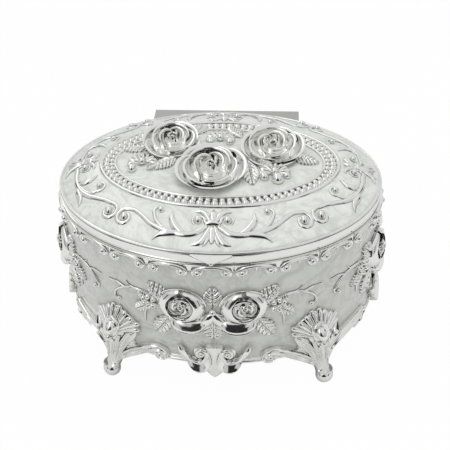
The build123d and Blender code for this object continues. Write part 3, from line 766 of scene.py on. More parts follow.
class KEEPSAKE_OT_lid_enamel(bpy.types.Operator):
    """Makes the lid's two enamel panels as smooth domes, and its rolled lip"""

    bl_idname = "keepsake.lid_enamel"
    bl_label = "Lid enamel"

    def execute(self, context):
        rows, edge, bevel = 20, 0.4, 0.15                 # the slope's outer edge is rounded
        first = (ENAMEL_INSET - LIP_WIDTH) / (HALF_LENGTH - LIP_WIDTH - RING_LENGTH)
        slope = [(*(LIP_AXES + (RING_AXES - LIP_AXES) * share), RIM + ENAMEL + slope_height(share))
                 for share in np.linspace(first, 1, rows)]
        along, deep, height = slope[0]
        slope[:1] = [(along, deep, height - edge), (along - bevel, deep - bevel, height + 0.02)]
        under = [(along, deep, height - ENAMEL) for along, deep, height in slope]
        make_piece("lid_slope_enamel", slab(oval_rows(slope), oval_rows(under), True), "lid",
                   "lid_enamel_band", material="white_enamel")
        make_piece("lid_lip", oval_moulding(LIP_SECTION, WALL_AXES, RIM), "lid",
                   nearness=shade_in_band_grooves)
        dome = [(0.0, 0.0, RING_BASE), (*PANEL_AXES, RING_BASE)]
        dome += [(*(PANEL_AXES * share), RIM + ENAMEL + dome_height(share))
                 for share in np.linspace(1, 0, rows)]
        make_piece("lid_centre_enamel", tube(oval_rows(dome)), "lid", "lid_enamel_centre",
                   material="white_enamel")
        return {"FINISHED"}


# ---- bead ring ----------------------------------------------------------------------------
# Rows of beads in the ring: radius as a share of the large beads', row's distance in from the
# ring's edge, and how far round it starts, in beads.
BEAD_ROWS = ((1.0, 3.2, 0.0), (0.8, 5.25, 0.0), (0.36, 2.1, 0.5))


class KEEPSAKE_OT_bead_ring(bpy.types.Operator):
    """Grows rows of large and small beads in a channel between two smooth ridges"""

    bl_idname = "keepsake.bead_ring"
    bl_label = "Bead ring"

    def execute(self, context):
        outer, inner, rise, bed = 1.75, 1.45, 1.5, 0.15
        crest = [(0.0, -0.35), (0.03, 0.5 * rise), (0.16, 0.82 * rise), (0.42, rise),
                 (0.7, 0.96 * rise), (0.92, 0.74 * rise), (1.0, bed + 0.1)]
        outline = [(-inset * outer, up) for inset, up in crest]
        outline += [(-1.3 * outer, bed), (1.3 * inner - RING_WIDTH, bed)]
        outline += [(inset * inner - RING_WIDTH, up) for inset, up in reversed(crest)]
        shapes = [oval_moulding(outline, RING_AXES, RING_BASE)]
        for share, inset, shift in BEAD_ROWS:
            graph = growing("bead_row", {
                "Half length": float(RING_LENGTH - inset), "Half depth": float(RING_DEPTH - inset),
                "Level": float(RING_BASE + bed + 0.35 * (1 - share)), "Shift": shift,
                "Bead": sizes().bead_radius / MM * share, "Beads": sizes().bead_count})
            given = graph.given
            turn = graph.vector(z=given["Shift"] * 2 * math.pi / given["Beads"])
            line = graph.node("GeometryNodeResampleCurve", {
                "Curve": oval_path(graph, 320, turn), "Count": given["Beads"]}, mode="COUNT")
            bead = graph.node("GeometryNodeMeshIcoSphere", {
                "Radius": given["Bead"], "Subdivisions": 3})
            row = graph.node("GeometryNodeInstanceOnPoints", {"Points": line, "Instance": bead})
            shapes.append(grown(graph, row, helper("ring", bpy.data.meshes.new("ring"))))
        make_piece("lid_beads", together(shapes), "lid", "lid_bead_ring", shade_in_ring)
        return {"FINISHED"}


# ---- upper trim ---------------------------------------------------------------------------
def c_scroll(half_width, drop, band, pitch):
    """A C-scroll: a web under the rim, an arch, and two ends that curl in on a ball."""
    curl, eye_radius = 2.65, 1.35
    middle = (half_width - curl, 0.15)
    turn = np.radians(np.linspace(90, 8, 16))
    arch = grid((half_width - band / 2) * np.cos(turn), (drop - band / 2) * np.sin(turn))
    inward = spiral(middle, curl - band / 2, 1.35, 4, -265, 24)
    line = np.vstack([arch, inward[1:]])
    width = np.interp(np.arange(len(line)), (0, 16, len(line) - 1), (band, band, 0.8))
    bar = raised_lines([np.column_stack([line, width])], 1.35)
    backing = turned([(0, -0.3), (curl - 0.5, -0.3), (curl - 0.5, 0.22), (0, 0.25)], 18)
    lace = strung([(0.62 * a, 0.74 * b - 0.1, 1.0) for a, b in arch[::2]], (0.7, 0.7, 0.7), 0.74)
    across = np.linspace(0, pitch / 2, 15)
    lower = np.interp(across, arch[::-1, 0], arch[::-1, 1])
    lower = np.where(across > half_width - 0.4, 0.9, lower)
    top, share = drop + 0.35, np.linspace(0, 1, 5)[:, None]
    web = backed(grid(across, top + (lower - top) * share, 0.95 - 0.25 * share), -0.3)
    half = [put(bar, out=0.5), put(ball(eye_radius), *middle, 1.0), put(backing, *middle),
            put(lace, out=0.35), web]
    return together(half + [put(shape, hand=-1) for shape in half])


class KEEPSAKE_OT_scroll_trim(bpy.types.Operator):
    """Grows a row of C-scrolls round the wall under the lid"""

    bl_idname = "keepsake.scroll_trim"
    bl_label = "C-scroll trim"

    def execute(self, context):
        volute_drop, trim_line, band, gap = 4.1, 0.5, 1.45, 0.35
        pitch = WALL_LENGTH / sizes().scroll_count
        half_width = pitch / 2 - gap
        points, faces = c_scroll(half_width, volute_drop - trim_line, band, pitch)
        mesh = bpy.data.meshes.new("scroll")
        mesh.from_pydata(points, [], faces)
        scroll = helper("scroll", mesh)
        graph = growing("scroll_trim", {
            "Half length": float(HALF_LENGTH), "Half depth": float(HALF_DEPTH),
            "Level": float(WALL_TOP - volute_drop), "Hinge gap": float(HINGE_HALF + half_width),
            "Scrolls": sizes().scroll_count, "Scroll": scroll})
        given = graph.given
        circle = graph.node("GeometryNodeCurvePrimitiveCircle", {"Resolution": 512, "Radius": 1.0})
        size = graph.vector(given["Half length"], given["Half depth"], 1.0)
        oval = graph.node("GeometryNodeTransform", {"Geometry": circle, "Scale": size})
        length = graph.node("GeometryNodeCurveLength", (oval,))

        def on_oval(across, output):
            """Where a distance round from the middle of the front falls on the oval."""
            place = (across + length * 0.75) % length
            return graph.node("GeometryNodeSampleCurve", {"Curves": oval, "Length": place}, output,
                              mode="LENGTH")

        row = graph.node("GeometryNodeMeshLine", {
            "Count": given["Scrolls"], "Offset": graph.vector(length / given["Scrolls"])})
        across = graph.split(graph.node("GeometryNodeInputPosition"))
        spot = graph.split(on_oval(across, "Position"))
        kept = 1 - (spot.out("Y") > 0) * (abs(spot) < given["Hinge gap"])
        one = graph.node("GeometryNodeObjectInfo", {"Object": given["Scroll"]}, "Geometry")
        scrolls = graph.node("GeometryNodeInstanceOnPoints", {
            "Points": row, "Selection": kept, "Instance": one})
        real = graph.node("GeometryNodeRealizeInstances", (scrolls,))
        outward = graph.vectors("CROSS_PRODUCT", on_oval(across, "Tangent"), (0.0, 0.0, 1.0))
        proud = graph.vectors("SCALE", outward, None, None, across.out("Z"))
        upright = graph.vector(z=across.out("Y") + given["Level"])
        flat = graph.vectors("ADD", on_oval(across, "Position"), proud)
        bent = graph.vectors("ADD", flat, upright)
        wrapped = graph.node("GeometryNodeSetPosition", {"Geometry": real, "Position": bent})
        shape = grown(graph, wrapped, helper("trim", bpy.data.meshes.new("trim")))
        bpy.data.objects.remove(scroll)
        make_piece("scroll_trim", shape, "box", "upper_scroll_trim", shade_near_wall)
        return {"FINISHED"}


# ---- roses, leaves and small flowers ------------------------------------------------------
def sheet(outer, inner, turn, height):
    """Thin curved sheet between an outer and an inner radius at each turn and height."""
    return slab(*(grid(radius * np.cos(turn), radius * np.sin(turn), height)
                  for radius in (outer, inner)))


def petal(middle, span, foot, lip, low, high, curl, tuck, thick):
    """One petal, a steep curved shell: middle and span in degrees, foot and lip are radii."""
    side = np.linspace(-1, 1, 21)[None, :]
    up = np.sin(np.linspace(0, 1, 12) * np.pi / 2)[:, None]
    share = up * (1 - 0.34 * np.abs(side) ** 3.0)
    roll = curl * np.clip((share - 0.72) / 0.28, 0, 1) ** 2
    if lip < foot:                                # it closes over the cup like a dome
        radius = foot + (lip - foot) * (1 - np.cos(share * np.pi / 2)) + tuck * side
        height = low + (high - low) * np.sin(share * np.pi / 2)
    else:
        radius = foot + (lip - foot) * np.sin(share * np.pi / 2) ** 0.9 + roll + tuck * side
        height = low + (high - low) * share**1.25 - 0.35 * roll
    rolled_lip = 0.75 + 0.75 * np.clip((share - 0.75) / 0.2, 0, 1)
    wall = thick * np.sqrt(np.maximum(1 - up**10, 0)) * rolled_lip
    return sheet(radius, radius - wall, np.radians(middle + side * span / 2), height)


def bud(radius, low, high, turns, thick):
    """The rolled sheet at the heart of a rose."""
    turn = np.linspace(0, turns * 2 * np.pi, int(28 * turns))[None, :]
    up = np.sin(np.linspace(0, 1, 7) * np.pi / 2)[:, None]
    share = turn / turn.max()
    outer = radius * (1 - 0.86 * share) * (1 - 0.1 * up)
    height = low + (high - low) * up * (1 - 0.16 * share)
    wall = thick * np.sqrt(np.maximum(1 - up**8, 0))
    return sheet(outer, np.maximum(outer - wall, 0.05), turn, height)


# Whorls of a rose: petals, span, foot, lip, low, high, curl, tuck (as shares of the radius and
# the rise) and the first petal's angle.
FULL_WHORLS = (
    (4, 120, 0.56, 1.0, -0.12, 0.66, 0.08, 0.04, 30),
    (3, 150, 0.42, 0.74, 0.0, 0.86, 0.05, 0.05, 78),
    (3, 146, 0.3, 0.42, 0.1, 1.0, 0.03, 0.06, 20),
)
CHEEK_WHORLS = (
    # a low petal behind, broad cheeks that close over each side, a low lip, then the cup
    (1, 170, 0.86, 0.98, -0.1, 0.42, 0.02, 0.0, 90),
    (2, 168, 1.0, 0.58, -0.12, 0.84, 0.0, 0.02, 2),
    (1, 120, 0.78, 0.7, -0.1, 0.66, 0.0, 0.0, 268),
    (3, 128, 0.42, 0.47, 0.0, 0.9, 0.03, 0.05, 100),
    (2, 150, 0.26, 0.29, 0.1, 1.0, 0.02, 0.07, 200),
)


def rose(radius, rise, turn=0.0, whorls=FULL_WHORLS, floor=0.34):
    """A rose that faces out: whorls of petals round a bud; floor is a share of its rise."""
    thick = sizes().petal_thickness / MM
    shapes = []
    for count, span, foot, lip, low, high, curl, tuck, first in whorls:
        for index in range(count):
            middle = turn + first + index * 360 / count
            sway = 1 + 0.05 * math.sin(2.4 * index + first)
            shapes.append(petal(middle, span, foot * radius, lip * radius * sway, low * rise,
                                high * rise * (2 - sway), curl * radius, tuck * radius, thick))
    heart = bud(0.21 * radius, 0.3 * rise, 0.95 * rise, 1.5, 0.95 * thick)
    cup = [(0, -0.1), (0.82, -0.1), (0.8, 0.04), (0.5, 0.1), (0.32, 0.8 * floor), (0, floor)]
    shapes += [put(heart, turn=turn), turned([(a * radius, b * rise) for a, b in cup], 28)]
    return together(shapes)


def nod(shape, radius, tilt, lean):
    """Tips a rose: its far side rises by a share of its height and its heart moves near."""
    points = shape[0].copy()
    points[:, 2] *= 1 + tilt * np.clip(points[:, 1] / radius, -1, 1)
    points[:, 1] -= lean * np.maximum(points[:, 2], 0)
    return points, shape[1]


# Section of a rolled petal, from its top down its sloping face to the bright rim below: (up, out).
ROLL_SECTION = (
    (0.96, 0.0), (1.02, 0.3), (0.9, 0.53), (0.52, 0.76), (0.08, 0.92), (-0.32, 1.0),
    (-0.52, 0.97), (-0.62, 0.84), (-0.7, 0.82), (-0.82, 0.9), (-0.98, 0.84), (-1.06, 0.5),
    (-1.0, 0.0),
)


def rolled_petal(half_width, half_height, out):
    """A petal that turns over below a rose: a fat roll with a thin rim under it."""
    section = smooth_line(ROLL_SECTION, 34)
    side = np.linspace(-1, 1, 33)[:, None]
    plump = np.sqrt(np.maximum(1 - np.abs(side) ** 2.6, 0.0004))
    up = half_height * (plump * section[:, 0] + 0.5 * side**2)
    rings = grid(half_width * side, up, out * section[:, 1] * plump**0.8)
    ends = np.repeat(rings[[0, -1]].mean(axis=1)[:, None, :], rings.shape[1], 1)
    return tube(np.concatenate([ends[:1], rings, ends[1:]]))


def leaf(length, width, relief, ribs=None):
    """A ribbed, saw-edged leaf from its stalk at the origin towards +across."""
    ribs = ribs or sizes().leaf_ribs
    steps, sweep = 7, 0.24
    along = np.linspace(0, 1, ribs * steps + 1)[:, None]
    side = np.linspace(-1, 1, 21)[None, :]
    lean = np.abs(side)
    outline = np.sin(np.pi * along**0.8) ** 0.62
    ridge = np.abs(np.cos(np.pi * (along * ribs - 0.55 * lean))) ** 0.5
    tooth = 1 - 0.26 * (1 - ridge) * lean**3
    across = length * (along + sweep * lean**1.4 * outline * (1 - along))
    arch = np.sqrt(np.maximum(1 - lean**2.4, 0))
    crease = 1 - np.exp(-((lean / 0.13) ** 2))
    ends = np.sin(np.pi * np.clip(along, 0.03, 0.985)) ** 0.35
    ribbed = 1 - 0.86 * (1 - ridge) * np.clip(lean * 3, 0, 1)
    out = relief * ends * (0.3 + 0.7 * arch) * ribbed * (0.45 + 0.55 * crease)
    return backed(grid(across, side * width / 2 * outline * tooth, out), -0.5)


def fan(radius, relief, flutes, span, squash=1.0, sink=0.5):
    """A fluted shell that opens upwards from the origin across a span in degrees."""
    turn = np.radians(np.linspace(90 - span / 2, 90 + span / 2, flutes * 6 + 1))[None, :]
    share = np.linspace(0.16, 1, 11)[:, None]
    flute = np.abs(np.sin(np.linspace(0, flutes * np.pi, flutes * 6 + 1)))[None, :] ** 0.8
    edge = radius * (0.86 + 0.14 * flute) * share
    belly = np.minimum(1, share / 0.6) ** 0.6 * np.sqrt(np.maximum(1 - share**9, 0.04))
    out = relief * belly * (0.32 + 0.68 * flute)
    return backed(grid(edge * np.cos(turn), squash * edge * np.sin(turn), out), -sink)


def fan_flower(radius, relief, span=225, flutes=None):
    """A fluted shell round a bead."""
    shell = fan(radius, relief, flutes or sizes().fan_flutes, span)
    return together([shell, put(ball(0.25 * radius), out=0.8 * relief)])


ROSE_TILT = 0.5                   # how much higher a rose's far side is, as a share
LID_ROSES = {
    # node: place in plan, radius, first petal's angle
    "lid_front_rose": (-3.0, -9.4, 13.4, -108),
    "lid_left_rose": (-20.3, 11.0, 11.4, 20),
    "lid_right_rose": (21.5, 7.8, 12.6, 145),
}


class KEEPSAKE_OT_lid_roses(bpy.types.Operator):
    """Makes the three high roses on the lid"""

    bl_idname = "keepsake.lid_roses"
    bl_label = "Lid roses"

    def execute(self, context):
        for node, (x, y, radius, turn) in LID_ROSES.items():
            level = lid_level(np.array([x]), np.array([y]))[0]
            rise = (reach(node)[1][2] - level - 0.3) / (1 + 0.62 * ROSE_TILT)
            bloom = nod(rose(radius, rise, turn), radius, ROSE_TILT, 0.22)
            make_piece(node + "_petals", put(bloom, x, y, level), "lid", node)
        return {"FINISHED"}


LID_LEAVES = {
    # node: leaves (stalk's place, heading, length, width), flowers (place, radius, turn), balls
    "lid_left_leaves": (
        ((-28.4, 8.0, 178, 13.5, 7.0), (-16.4, 0.6, 221, 13.0, 6.8), (-29.0, -7.6, 30, 5.0, 4.0)),
        ((-31.2, -3.4, 6.5, 0),),
        ((-35.0, -7.2, 1.9),),
    ),
    "lid_rear_leaves": (
        ((8.6, 17.0, 122, 12.0, 7.0), (-11.0, 20.0, 72, 9.0, 6.4)),
        ((-0.4, 15.0, 6.5, 0),),
        ((-4.4, 12.4, 1.6), (3.6, 12.4, 1.6)),
    ),
    "lid_right_leaves": (
        ((28.4, 2.6, -12, 12.6, 7.2), (11.4, -1.0, -80, 16.5, 7.4), (15.6, -1.0, -44, 8.5, 6.0)),
        ((22.8, -9.4, 6.8, 0),),
        ((18.6, -12.2, 1.9), (24.0, -13.4, 2.4), (27.6, -10.6, 1.5)),
    ),
}
LID_LEAF_RELIEF = 1.9


class KEEPSAKE_OT_lid_leaves(bpy.types.Operator):
    """Makes the leaves and fan flowers round the lid's roses"""

    bl_idname = "keepsake.lid_leaves"
    bl_label = "Lid leaves"

    def execute(self, context):
        for node, (leaves, flowers, balls) in LID_LEAVES.items():
            shapes = [put(leaf(length, width, LID_LEAF_RELIEF), x, y, 0, heading)
                      for x, y, heading, length, width in leaves]
            shapes += [put(fan_flower(radius, LID_LEAF_RELIEF), x, y, 0, turn)
                       for x, y, radius, turn in flowers]
            shapes += [put(ball(radius), x, y, 0.4 * radius) for x, y, radius in balls]
            make_piece(node + "_foliage", lay_on_lid(together(shapes)), "lid", node, shade_near_lid)
        return {"FINISHED"}


# ---- scrollwork on the lid's slope --------------------------------------------------------
# A quarter's lines, mirrored to the others, in plan. Each curling line has the points of its
# stem, then the curl's middle, start and end radius, start angle, sweep and widths.
LONG_CURLS = (
    (((3.4, -41.0), (6.0, -42.8), (9.8, -43.4), (14.5, -42.5), (19.6, -40.6), (23.8, -38.0),
      (27.2, -34.4), (30.2, -31.7)), (34.2, -34.4), 3.8, 1.2, 110, -430, (2.2, 1.3)),
    (((13.4, -42.7), (17.3, -41.3), (20.0, -39.1), (21.8, -36.6)),
     (20.3, -32.7), 2.6, 2.1, -24, 150, (1.6, 1.1)),
)
LONG_BLADES = (
    (((15.2, -33.0), (15.7, -36.2), (14.6, -39.2), (12.5, -41.4), (9.7, -42.9)), 2.8),
    (((10.4, -43.4), (15.2, -42.6), (18.9, -42.7), (21.0, -43.5), (22.5, -44.9)), 2.4),
)
LONG_BALLS = ((34.3, -34.6, 1.5), (20.2, -32.4, 1.2))
END_CURLS = (
    (((58.4, -3.4), (57.2, -11.5), (54.6, -17.4), (50.6, -21.4), (46.4, -23.6), (43.0, -25.2)),
     (40.8, -30.8), 3.9, 1.2, 96, 420, (2.2, 1.3)),
    (((55.0, -15.6), (51.6, -19.4), (48.6, -20.2)), (46.6, -17.4), 2.6, 2.0, -70, -170, (1.6, 1.1)),
)
END_BLADES = (
    (((48.4, -10.2), (51.2, -13.2), (54.4, -13.6), (57.6, -10.6)), 2.6),
    (((56.6, -13.6), (55.4, -18.2), (53.8, -22.0), (53.9, -25.6)), 2.4),
)
END_BALLS = ((40.9, -31.0, 1.5), (46.6, -17.4, 1.2))
# Half of a palmette about its waist: (across, away from the middle of the lid). Blades have a
# start, fattest and end width.
PALMETTE_BLADES = (
    (((0.9, -0.4), (1.6, -2.5), (3.1, -4.9), (4.9, -6.0), (7.0, -5.9)), 1.2, 2.4, 0.6),
    (((0.9, 0.8), (1.8, 3.8), (3.4, 6.4), (5.1, 7.7), (7.4, 8.1)), 1.3, 2.5, 0.6),
    (((0.8, 1.6), (1.4, 4.8), (2.1, 7.2), (3.4, 8.8)), 0.8, 1.5, 0.5),
)
PALMETTE_MIDDLE = (
    (((0.0, -0.4), (0.0, -3.8), (0.0, -7.2)), 1.6, 3.6, 0.4),
    (((0.0, 0.6), (0.0, 4.0), (0.0, 7.8)), 1.2, 3.2, 0.8),
)
PALMETTE_BALL = (5.6, -1.6)
PALMETTE_COLLAR = np.array([
    (-2.4, 0.35, 1.2), (-1.2, 0.0, 1.9), (0.0, -0.1, 2.1), (1.2, 0.0, 1.9), (2.4, 0.35, 1.2)])
FRONT_WAIST, END_WAIST = 39.3, 56.2       # from the middle of the lid to a palmette's collar


def palmette():
    """Fleur-de-lis blades above and below a collar, between two crooks that each hold a ball."""
    lines = [tapered(points, start, end, 26, fattest)
             for points, start, fattest, end in PALMETTE_MIDDLE]
    crook = spiral(PALMETTE_BALL, 2.6, 1.9, 172, 235, 24)
    stem = smooth_line([(4.4, 2.4), (2.5, 1.2), (2.4, -0.4), tuple(crook[0])], 16)[:-1]
    hook = np.vstack([stem, crook])
    shapes = []
    for hand in (1, -1):
        for points, start, fattest, end in PALMETTE_BLADES:
            lines.append(tapered(points, start, end, 26, fattest) * (hand, 1, 1))
        lines.append(np.column_stack([hook, np.linspace(1.5, 0.9, len(hook))]) * (hand, 1, 1))
        shapes.append(put(ball(1.5), *PALMETTE_BALL, 0.7, hand=hand))
    shapes += [raised_lines(lines, 0.85), put(raised_lines([PALMETTE_COLLAR], 1.1), out=0.7)]
    return together(shapes)


def scrollwork(curls, blades, balls, waist, at_end):
    """Scrolls each side of a palmette; waist is how far its collar is from the middle."""
    flip = np.array([1, -1, 1]) if at_end else np.array([-1, 1, 1])
    half = [curled(*curl) for curl in curls]
    half += [tapered(points, 0.5, 0.35, 22, fattest) for points, fattest in blades]
    shapes = [raised_lines([mirrored for line in half for mirrored in (line, line * flip)], 0.85)]
    for x, y, radius in balls:
        for side in (1, 1, 1), flip:
            shapes.append(put(ball(radius), x * side[0], y * side[1], 0.45 * radius))
    points, faces = palmette()
    across, away, out = points.T
    if at_end:
        placed = grid(waist + 0.86 * away, 0.86 * across, out)
    else:
        placed = grid(across, -waist - away, out)
    return together([*shapes, (placed, faces)])


class KEEPSAKE_OT_scrollwork(bpy.types.Operator):
    """Grows the palmettes and scrolls on the lid's slope"""

    bl_idname = "keepsake.scrollwork"
    bl_label = "Lid scrollwork"

    def execute(self, context):
        front = scrollwork(LONG_CURLS, LONG_BLADES, LONG_BALLS, FRONT_WAIST, False)
        right = scrollwork(END_CURLS, END_BLADES, END_BALLS, END_WAIST, True)
        for name, (points, faces), flip in (
            ("front", front, (1, 1, 1)), ("rear", front, (1, -1, 1)),
            ("right", right, (1, 1, 1)), ("left", right, (-1, 1, 1)),
        ):
            make_piece(f"lid_{name}_scrolls", lay_on_lid((points * flip, faces)), "lid",
                       f"lid_{name}_scrollwork", shade_near_lid)
        return {"FINISHED"}


# ---- thumb tab ----------------------------------------------------------------------------
class KEEPSAKE_OT_thumb_tab(bpy.types.Operator):
    """Makes the bow-shaped tab that the lid is lifted by"""

    bl_idname = "keepsake.thumb_tab"
    bl_label = "Thumb tab"

    def execute(self, context):
        low, high = reach("lid_thumb_tab")
        half_width, depth, shoulder = float(high[0] + 0.7), 3.5, 0.5
        relief = float(-HALF_DEPTH - low[1]) * 0.8
        side = np.linspace(-1, 1, 41)[None, :]
        fall = np.linspace(0, 1, 9)[:, None]
        edge = -shoulder - (depth - shoulder) * (1 - np.abs(side)) ** 1.25
        out = 0.8 + 0.7 * relief * (1 - side**2)
        face = backed(grid(half_width * side, edge * fall, out), -0.5)
        hem = grid(half_width * side[0], edge[0] - 0.3, 1.5)
        rope = put(strung(hem, (1.15, 0.75, 0.9), 0.95, 0.7), out=0.75)
        rope[0][:, 2] += relief * 0.4 * (1 - (rope[0][:, 0] / half_width) ** 2)
        stud = put(ball(0.85, flat=0.8), 0, 0.2 - depth, 0.8 + relief * 0.5)
        shape = together([face, put(raised_lines([hem], 0.3), out=0.2), rope, stud])
        make_piece("thumb_tab", wrap(shape, 0, 0, RIM - 0.05), "lid", "lid_thumb_tab", shade_near_wall)
        return {"FINISHED"}


# ---- sprays of roses on the wall ----------------------------------------------------------
SPRAY_LEVEL = 48.0                # above the floor
SPRAY_RADIUS = 9.7                # of a rose
SPRAY_HALF = 12.1                 # roses each side of the middle
SPRAY_UP = 0.7                    # roses above the spray's level
SPRAY_RISE = 4.6                  # of a rose, out from the wall
WALL_LEAF_RELIEF = 2.0
SPRAY_LEAVES = (
    # along, up from the roses, heading, length, width
    (17.6, 2.0, 48, 11.4, 7.4), (25.2, -0.6, -38, 8.8, 5.8), (17.0, -5.2, -58, 12.4, 8.2),
    (25.4, 1.2, 36, 5.8, 4.4),
)
MIDDLE_LEAVES = ((0.0, 0.6, 90, 11.0, 7.6), (0.0, -5.2, -90, 11.2, 8.4))
TENDRILS = (
    (((22.0, 2.0), (29.0, 4.6), (35.5, 4.0), (40.2, 0.6), (41.6, -2.8), (39.6, -4.2)), 1.3, 0.9),
    (((31.0, 4.6), (33.6, 5.4), (35.4, 7.2)), 1.0, 0.4),
    (((36.0, 3.6), (39.6, 4.8), (44.0, 4.7)), 1.1, 0.7),
    (((26.4, -2.4), (27.8, -6.8), (27.9, -11.6)), 1.8, 0.4),
)
# The smooth ribbon that joins the two roses below the middle leaf.
HEART_RIBBON = ((0.0, -2.4, 2.8), (1.7, -4.3, 4.8), (3.8, -6.8, 5.2), (7.0, -8.9, 3.4))

SIDES = ("front", "right", "rear", "left")


def wall_leaf(along, up, heading, length, width):
    """A leaf laid flat on the wall."""
    return put(leaf(length, width, WALL_LEAF_RELIEF, 5), along, up, 0, heading)


def rose_spray():
    """Two roses side by side, with leaves, fan flowers and tendrils beyond them."""
    bloom = rose(SPRAY_RADIUS, SPRAY_RISE, 0, CHEEK_WHORLS, 0.6)
    bloom, faces = nod(bloom, SPRAY_RADIUS, -0.3, -0.5)
    flower = fan_flower(3.7, WALL_LEAF_RELIEF, 330, 6)
    half = [put((bloom * (1, 0.88, 1), faces), SPRAY_HALF, SPRAY_UP),
            put(rolled_petal(7.4, 3.0, 4.7), 9.6, -8.0)]
    half += [wall_leaf(*place) for place in SPRAY_LEAVES]
    half += [put(flower, 25.2, 0.7, 0.6, -90), put(ball(1.0), 39.4, -3.6, 0.5)]
    lines, ribbons, shapes = [], [], []
    for hand in (1, -1):
        shapes += [put(shape, hand=hand) for shape in half]
        lines += [tapered(points, start, end, 26) * (hand, 1, 1) for points, start, end in TENDRILS]
        ribbons.append(smooth_line(HEART_RIBBON, 30) * (hand, 1, 1))
    shapes += [wall_leaf(*place) for place in MIDDLE_LEAVES]
    shapes += [put(ball(1.35), 0, 0.3, 2.4), raised_lines(lines, 1.6),
               put(raised_lines(ribbons, 0.7), out=0.7)]
    return together(shapes)


class KEEPSAKE_OT_rose_sprays(bpy.types.Operator):
    """Makes the four sprays of roses on the wall"""

    bl_idname = "keepsake.rose_sprays"
    bl_label = "Rose sprays"

    def execute(self, context):
        spray = rose_spray()
        for side, name in enumerate(SIDES):
            make_piece(f"{name}_roses", wrap(spray, side, 0, SPRAY_LEVEL), "box",
                       f"{name}_rose_spray", shade_near_wall)
        return {"FINISHED"}


# ---- pendants under the wall --------------------------------------------------------------
def plate(outline, relief, back):
    """A smooth plate, plump towards its middle; outline is rows of (up, half-width)."""
    rows = smooth_line(outline, 40)
    side = np.linspace(-1, 1, 21)[None, :]
    up, half = rows[:, :1], np.maximum(rows[:, 1:2], 0.05)
    crown = np.sqrt(np.maximum(1 - np.abs(side) ** 4, 0))
    return backed(grid(half * side, up, relief * (0.3 + 0.7 * crown)), -back)


def strap(near, far, rise, back):
    """A band between two lines that swells outwards towards the far one and rolls under it."""
    near, far = smooth_line(near, 44)[:, None, :], smooth_line(far, 44)[:, None, :]
    share = np.linspace(0, 1, 15)[None, :]
    swelling = np.interp(share, (0, 0.3, 0.6, 0.82, 0.94, 1), (0.5, 0.68, 0.88, 1.0, 0.82, 0.3))
    height = rise * swelling * np.sin(np.pi * np.linspace(0.06, 0.94, 44))[:, None] ** 0.3
    return backed(np.dstack([near + (far - near) * share[:, :, None], height]), -back)


# Half of a pendant, as (across, up, width): the ridge from the tip of its horn round to its ball,
# then the two edges of the broad strap outside it.
HORN_RIDGE = (
    (13.8, 28.0, 1.6), (13.2, 26.2, 2.8), (12.1, 24.0, 2.7), (10.8, 22.0, 2.3), (9.5, 20.7, 1.9),
    (8.0, 19.7, 1.6), (6.4, 19.3, 1.6), (4.8, 19.9, 1.7), (3.6, 21.4, 1.8), (3.0, 23.3, 1.9),
    (3.2, 25.3, 1.8), (4.4, 26.5, 1.6), (6.0, 26.3, 1.5), (7.0, 24.9, 1.4), (6.9, 23.3, 1.3),
    (5.8, 22.6, 1.1),
)
STRAP_NEAR = ((10.2, 21.0), (8.6, 19.7), (6.4, 19.2), (4.6, 19.8), (3.4, 21.4), (2.9, 23.4),
              (2.9, 25.6), (3.6, 27.4))
STRAP_FAR = ((11.2, 20.6), (9.9, 17.8), (8.2, 15.7), (6.2, 14.7), (3.8, 15.6), (1.9, 18.0),
             (1.0, 21.4), (2.4, 27.2))
PLATE_OUTLINE = (
    (29.0, 1.4), (28.6, 3.0), (27.9, 3.6), (26.6, 2.9), (25.0, 2.1), (23.0, 1.5), (21.0, 1.3),
    (19.0, 1.6), (17.4, 2.6), (16.0, 3.5), (14.9, 3.5), (13.8, 2.7), (12.8, 1.4), (12.3, 0.2),
)


def pendant():
    """A smooth plate that ends in a drop, between two S-scrolls with broad bellies."""
    backing = turned([(0, -1.2), (3.8, -1.2), (3.9, 0.2), (3.0, 0.8), (0, 0.9)], 24)
    half = [strap(STRAP_NEAR, STRAP_FAR, 4.1, 1.3), put(ball(1.25), 5.2, 24.4, 1.9),
            put(backing, 5.2, 22.9)]
    ridges = [smooth_line(HORN_RIDGE, 90) * (hand, 1, 1) for hand in (1, -1)]
    shapes = [plate(PLATE_OUTLINE, 2.7, 1.3), put(raised_lines(ridges, 0.95), out=1.7)]
    return together(shapes + [put(shape, hand=hand) for hand in (1, -1) for shape in half])


class KEEPSAKE_OT_pendants(bpy.types.Operator):
    """Makes the pendant under each spray"""

    bl_idname = "keepsake.pendants"
    bl_label = "Pendants"

    def execute(self, context):
        drawn = pendant()
        for side, name in enumerate(SIDES):
            make_piece(f"{name}_pendant", wrap(drawn, side), "box", f"{name}_apron_pendant",
                       shade_near_wall)
        return {"FINISHED"}


# ---- legs ---------------------------------------------------------------------------------
LEG_PLACE = 45.5                  # round the wall from the middle of the front or the back
LEGS = {"front_left_leg": (0, -1), "front_right_leg": (0, 1),
        "rear_right_leg": (2, -1), "rear_left_leg": (2, 1)}
LEG_BALL = 3.6                    # radius
LEG_BALL_OUT = 3.6                # its middle, out from the wall
LEG_LEAN = 4.2                    # crest, towards the middle of the side from the foot
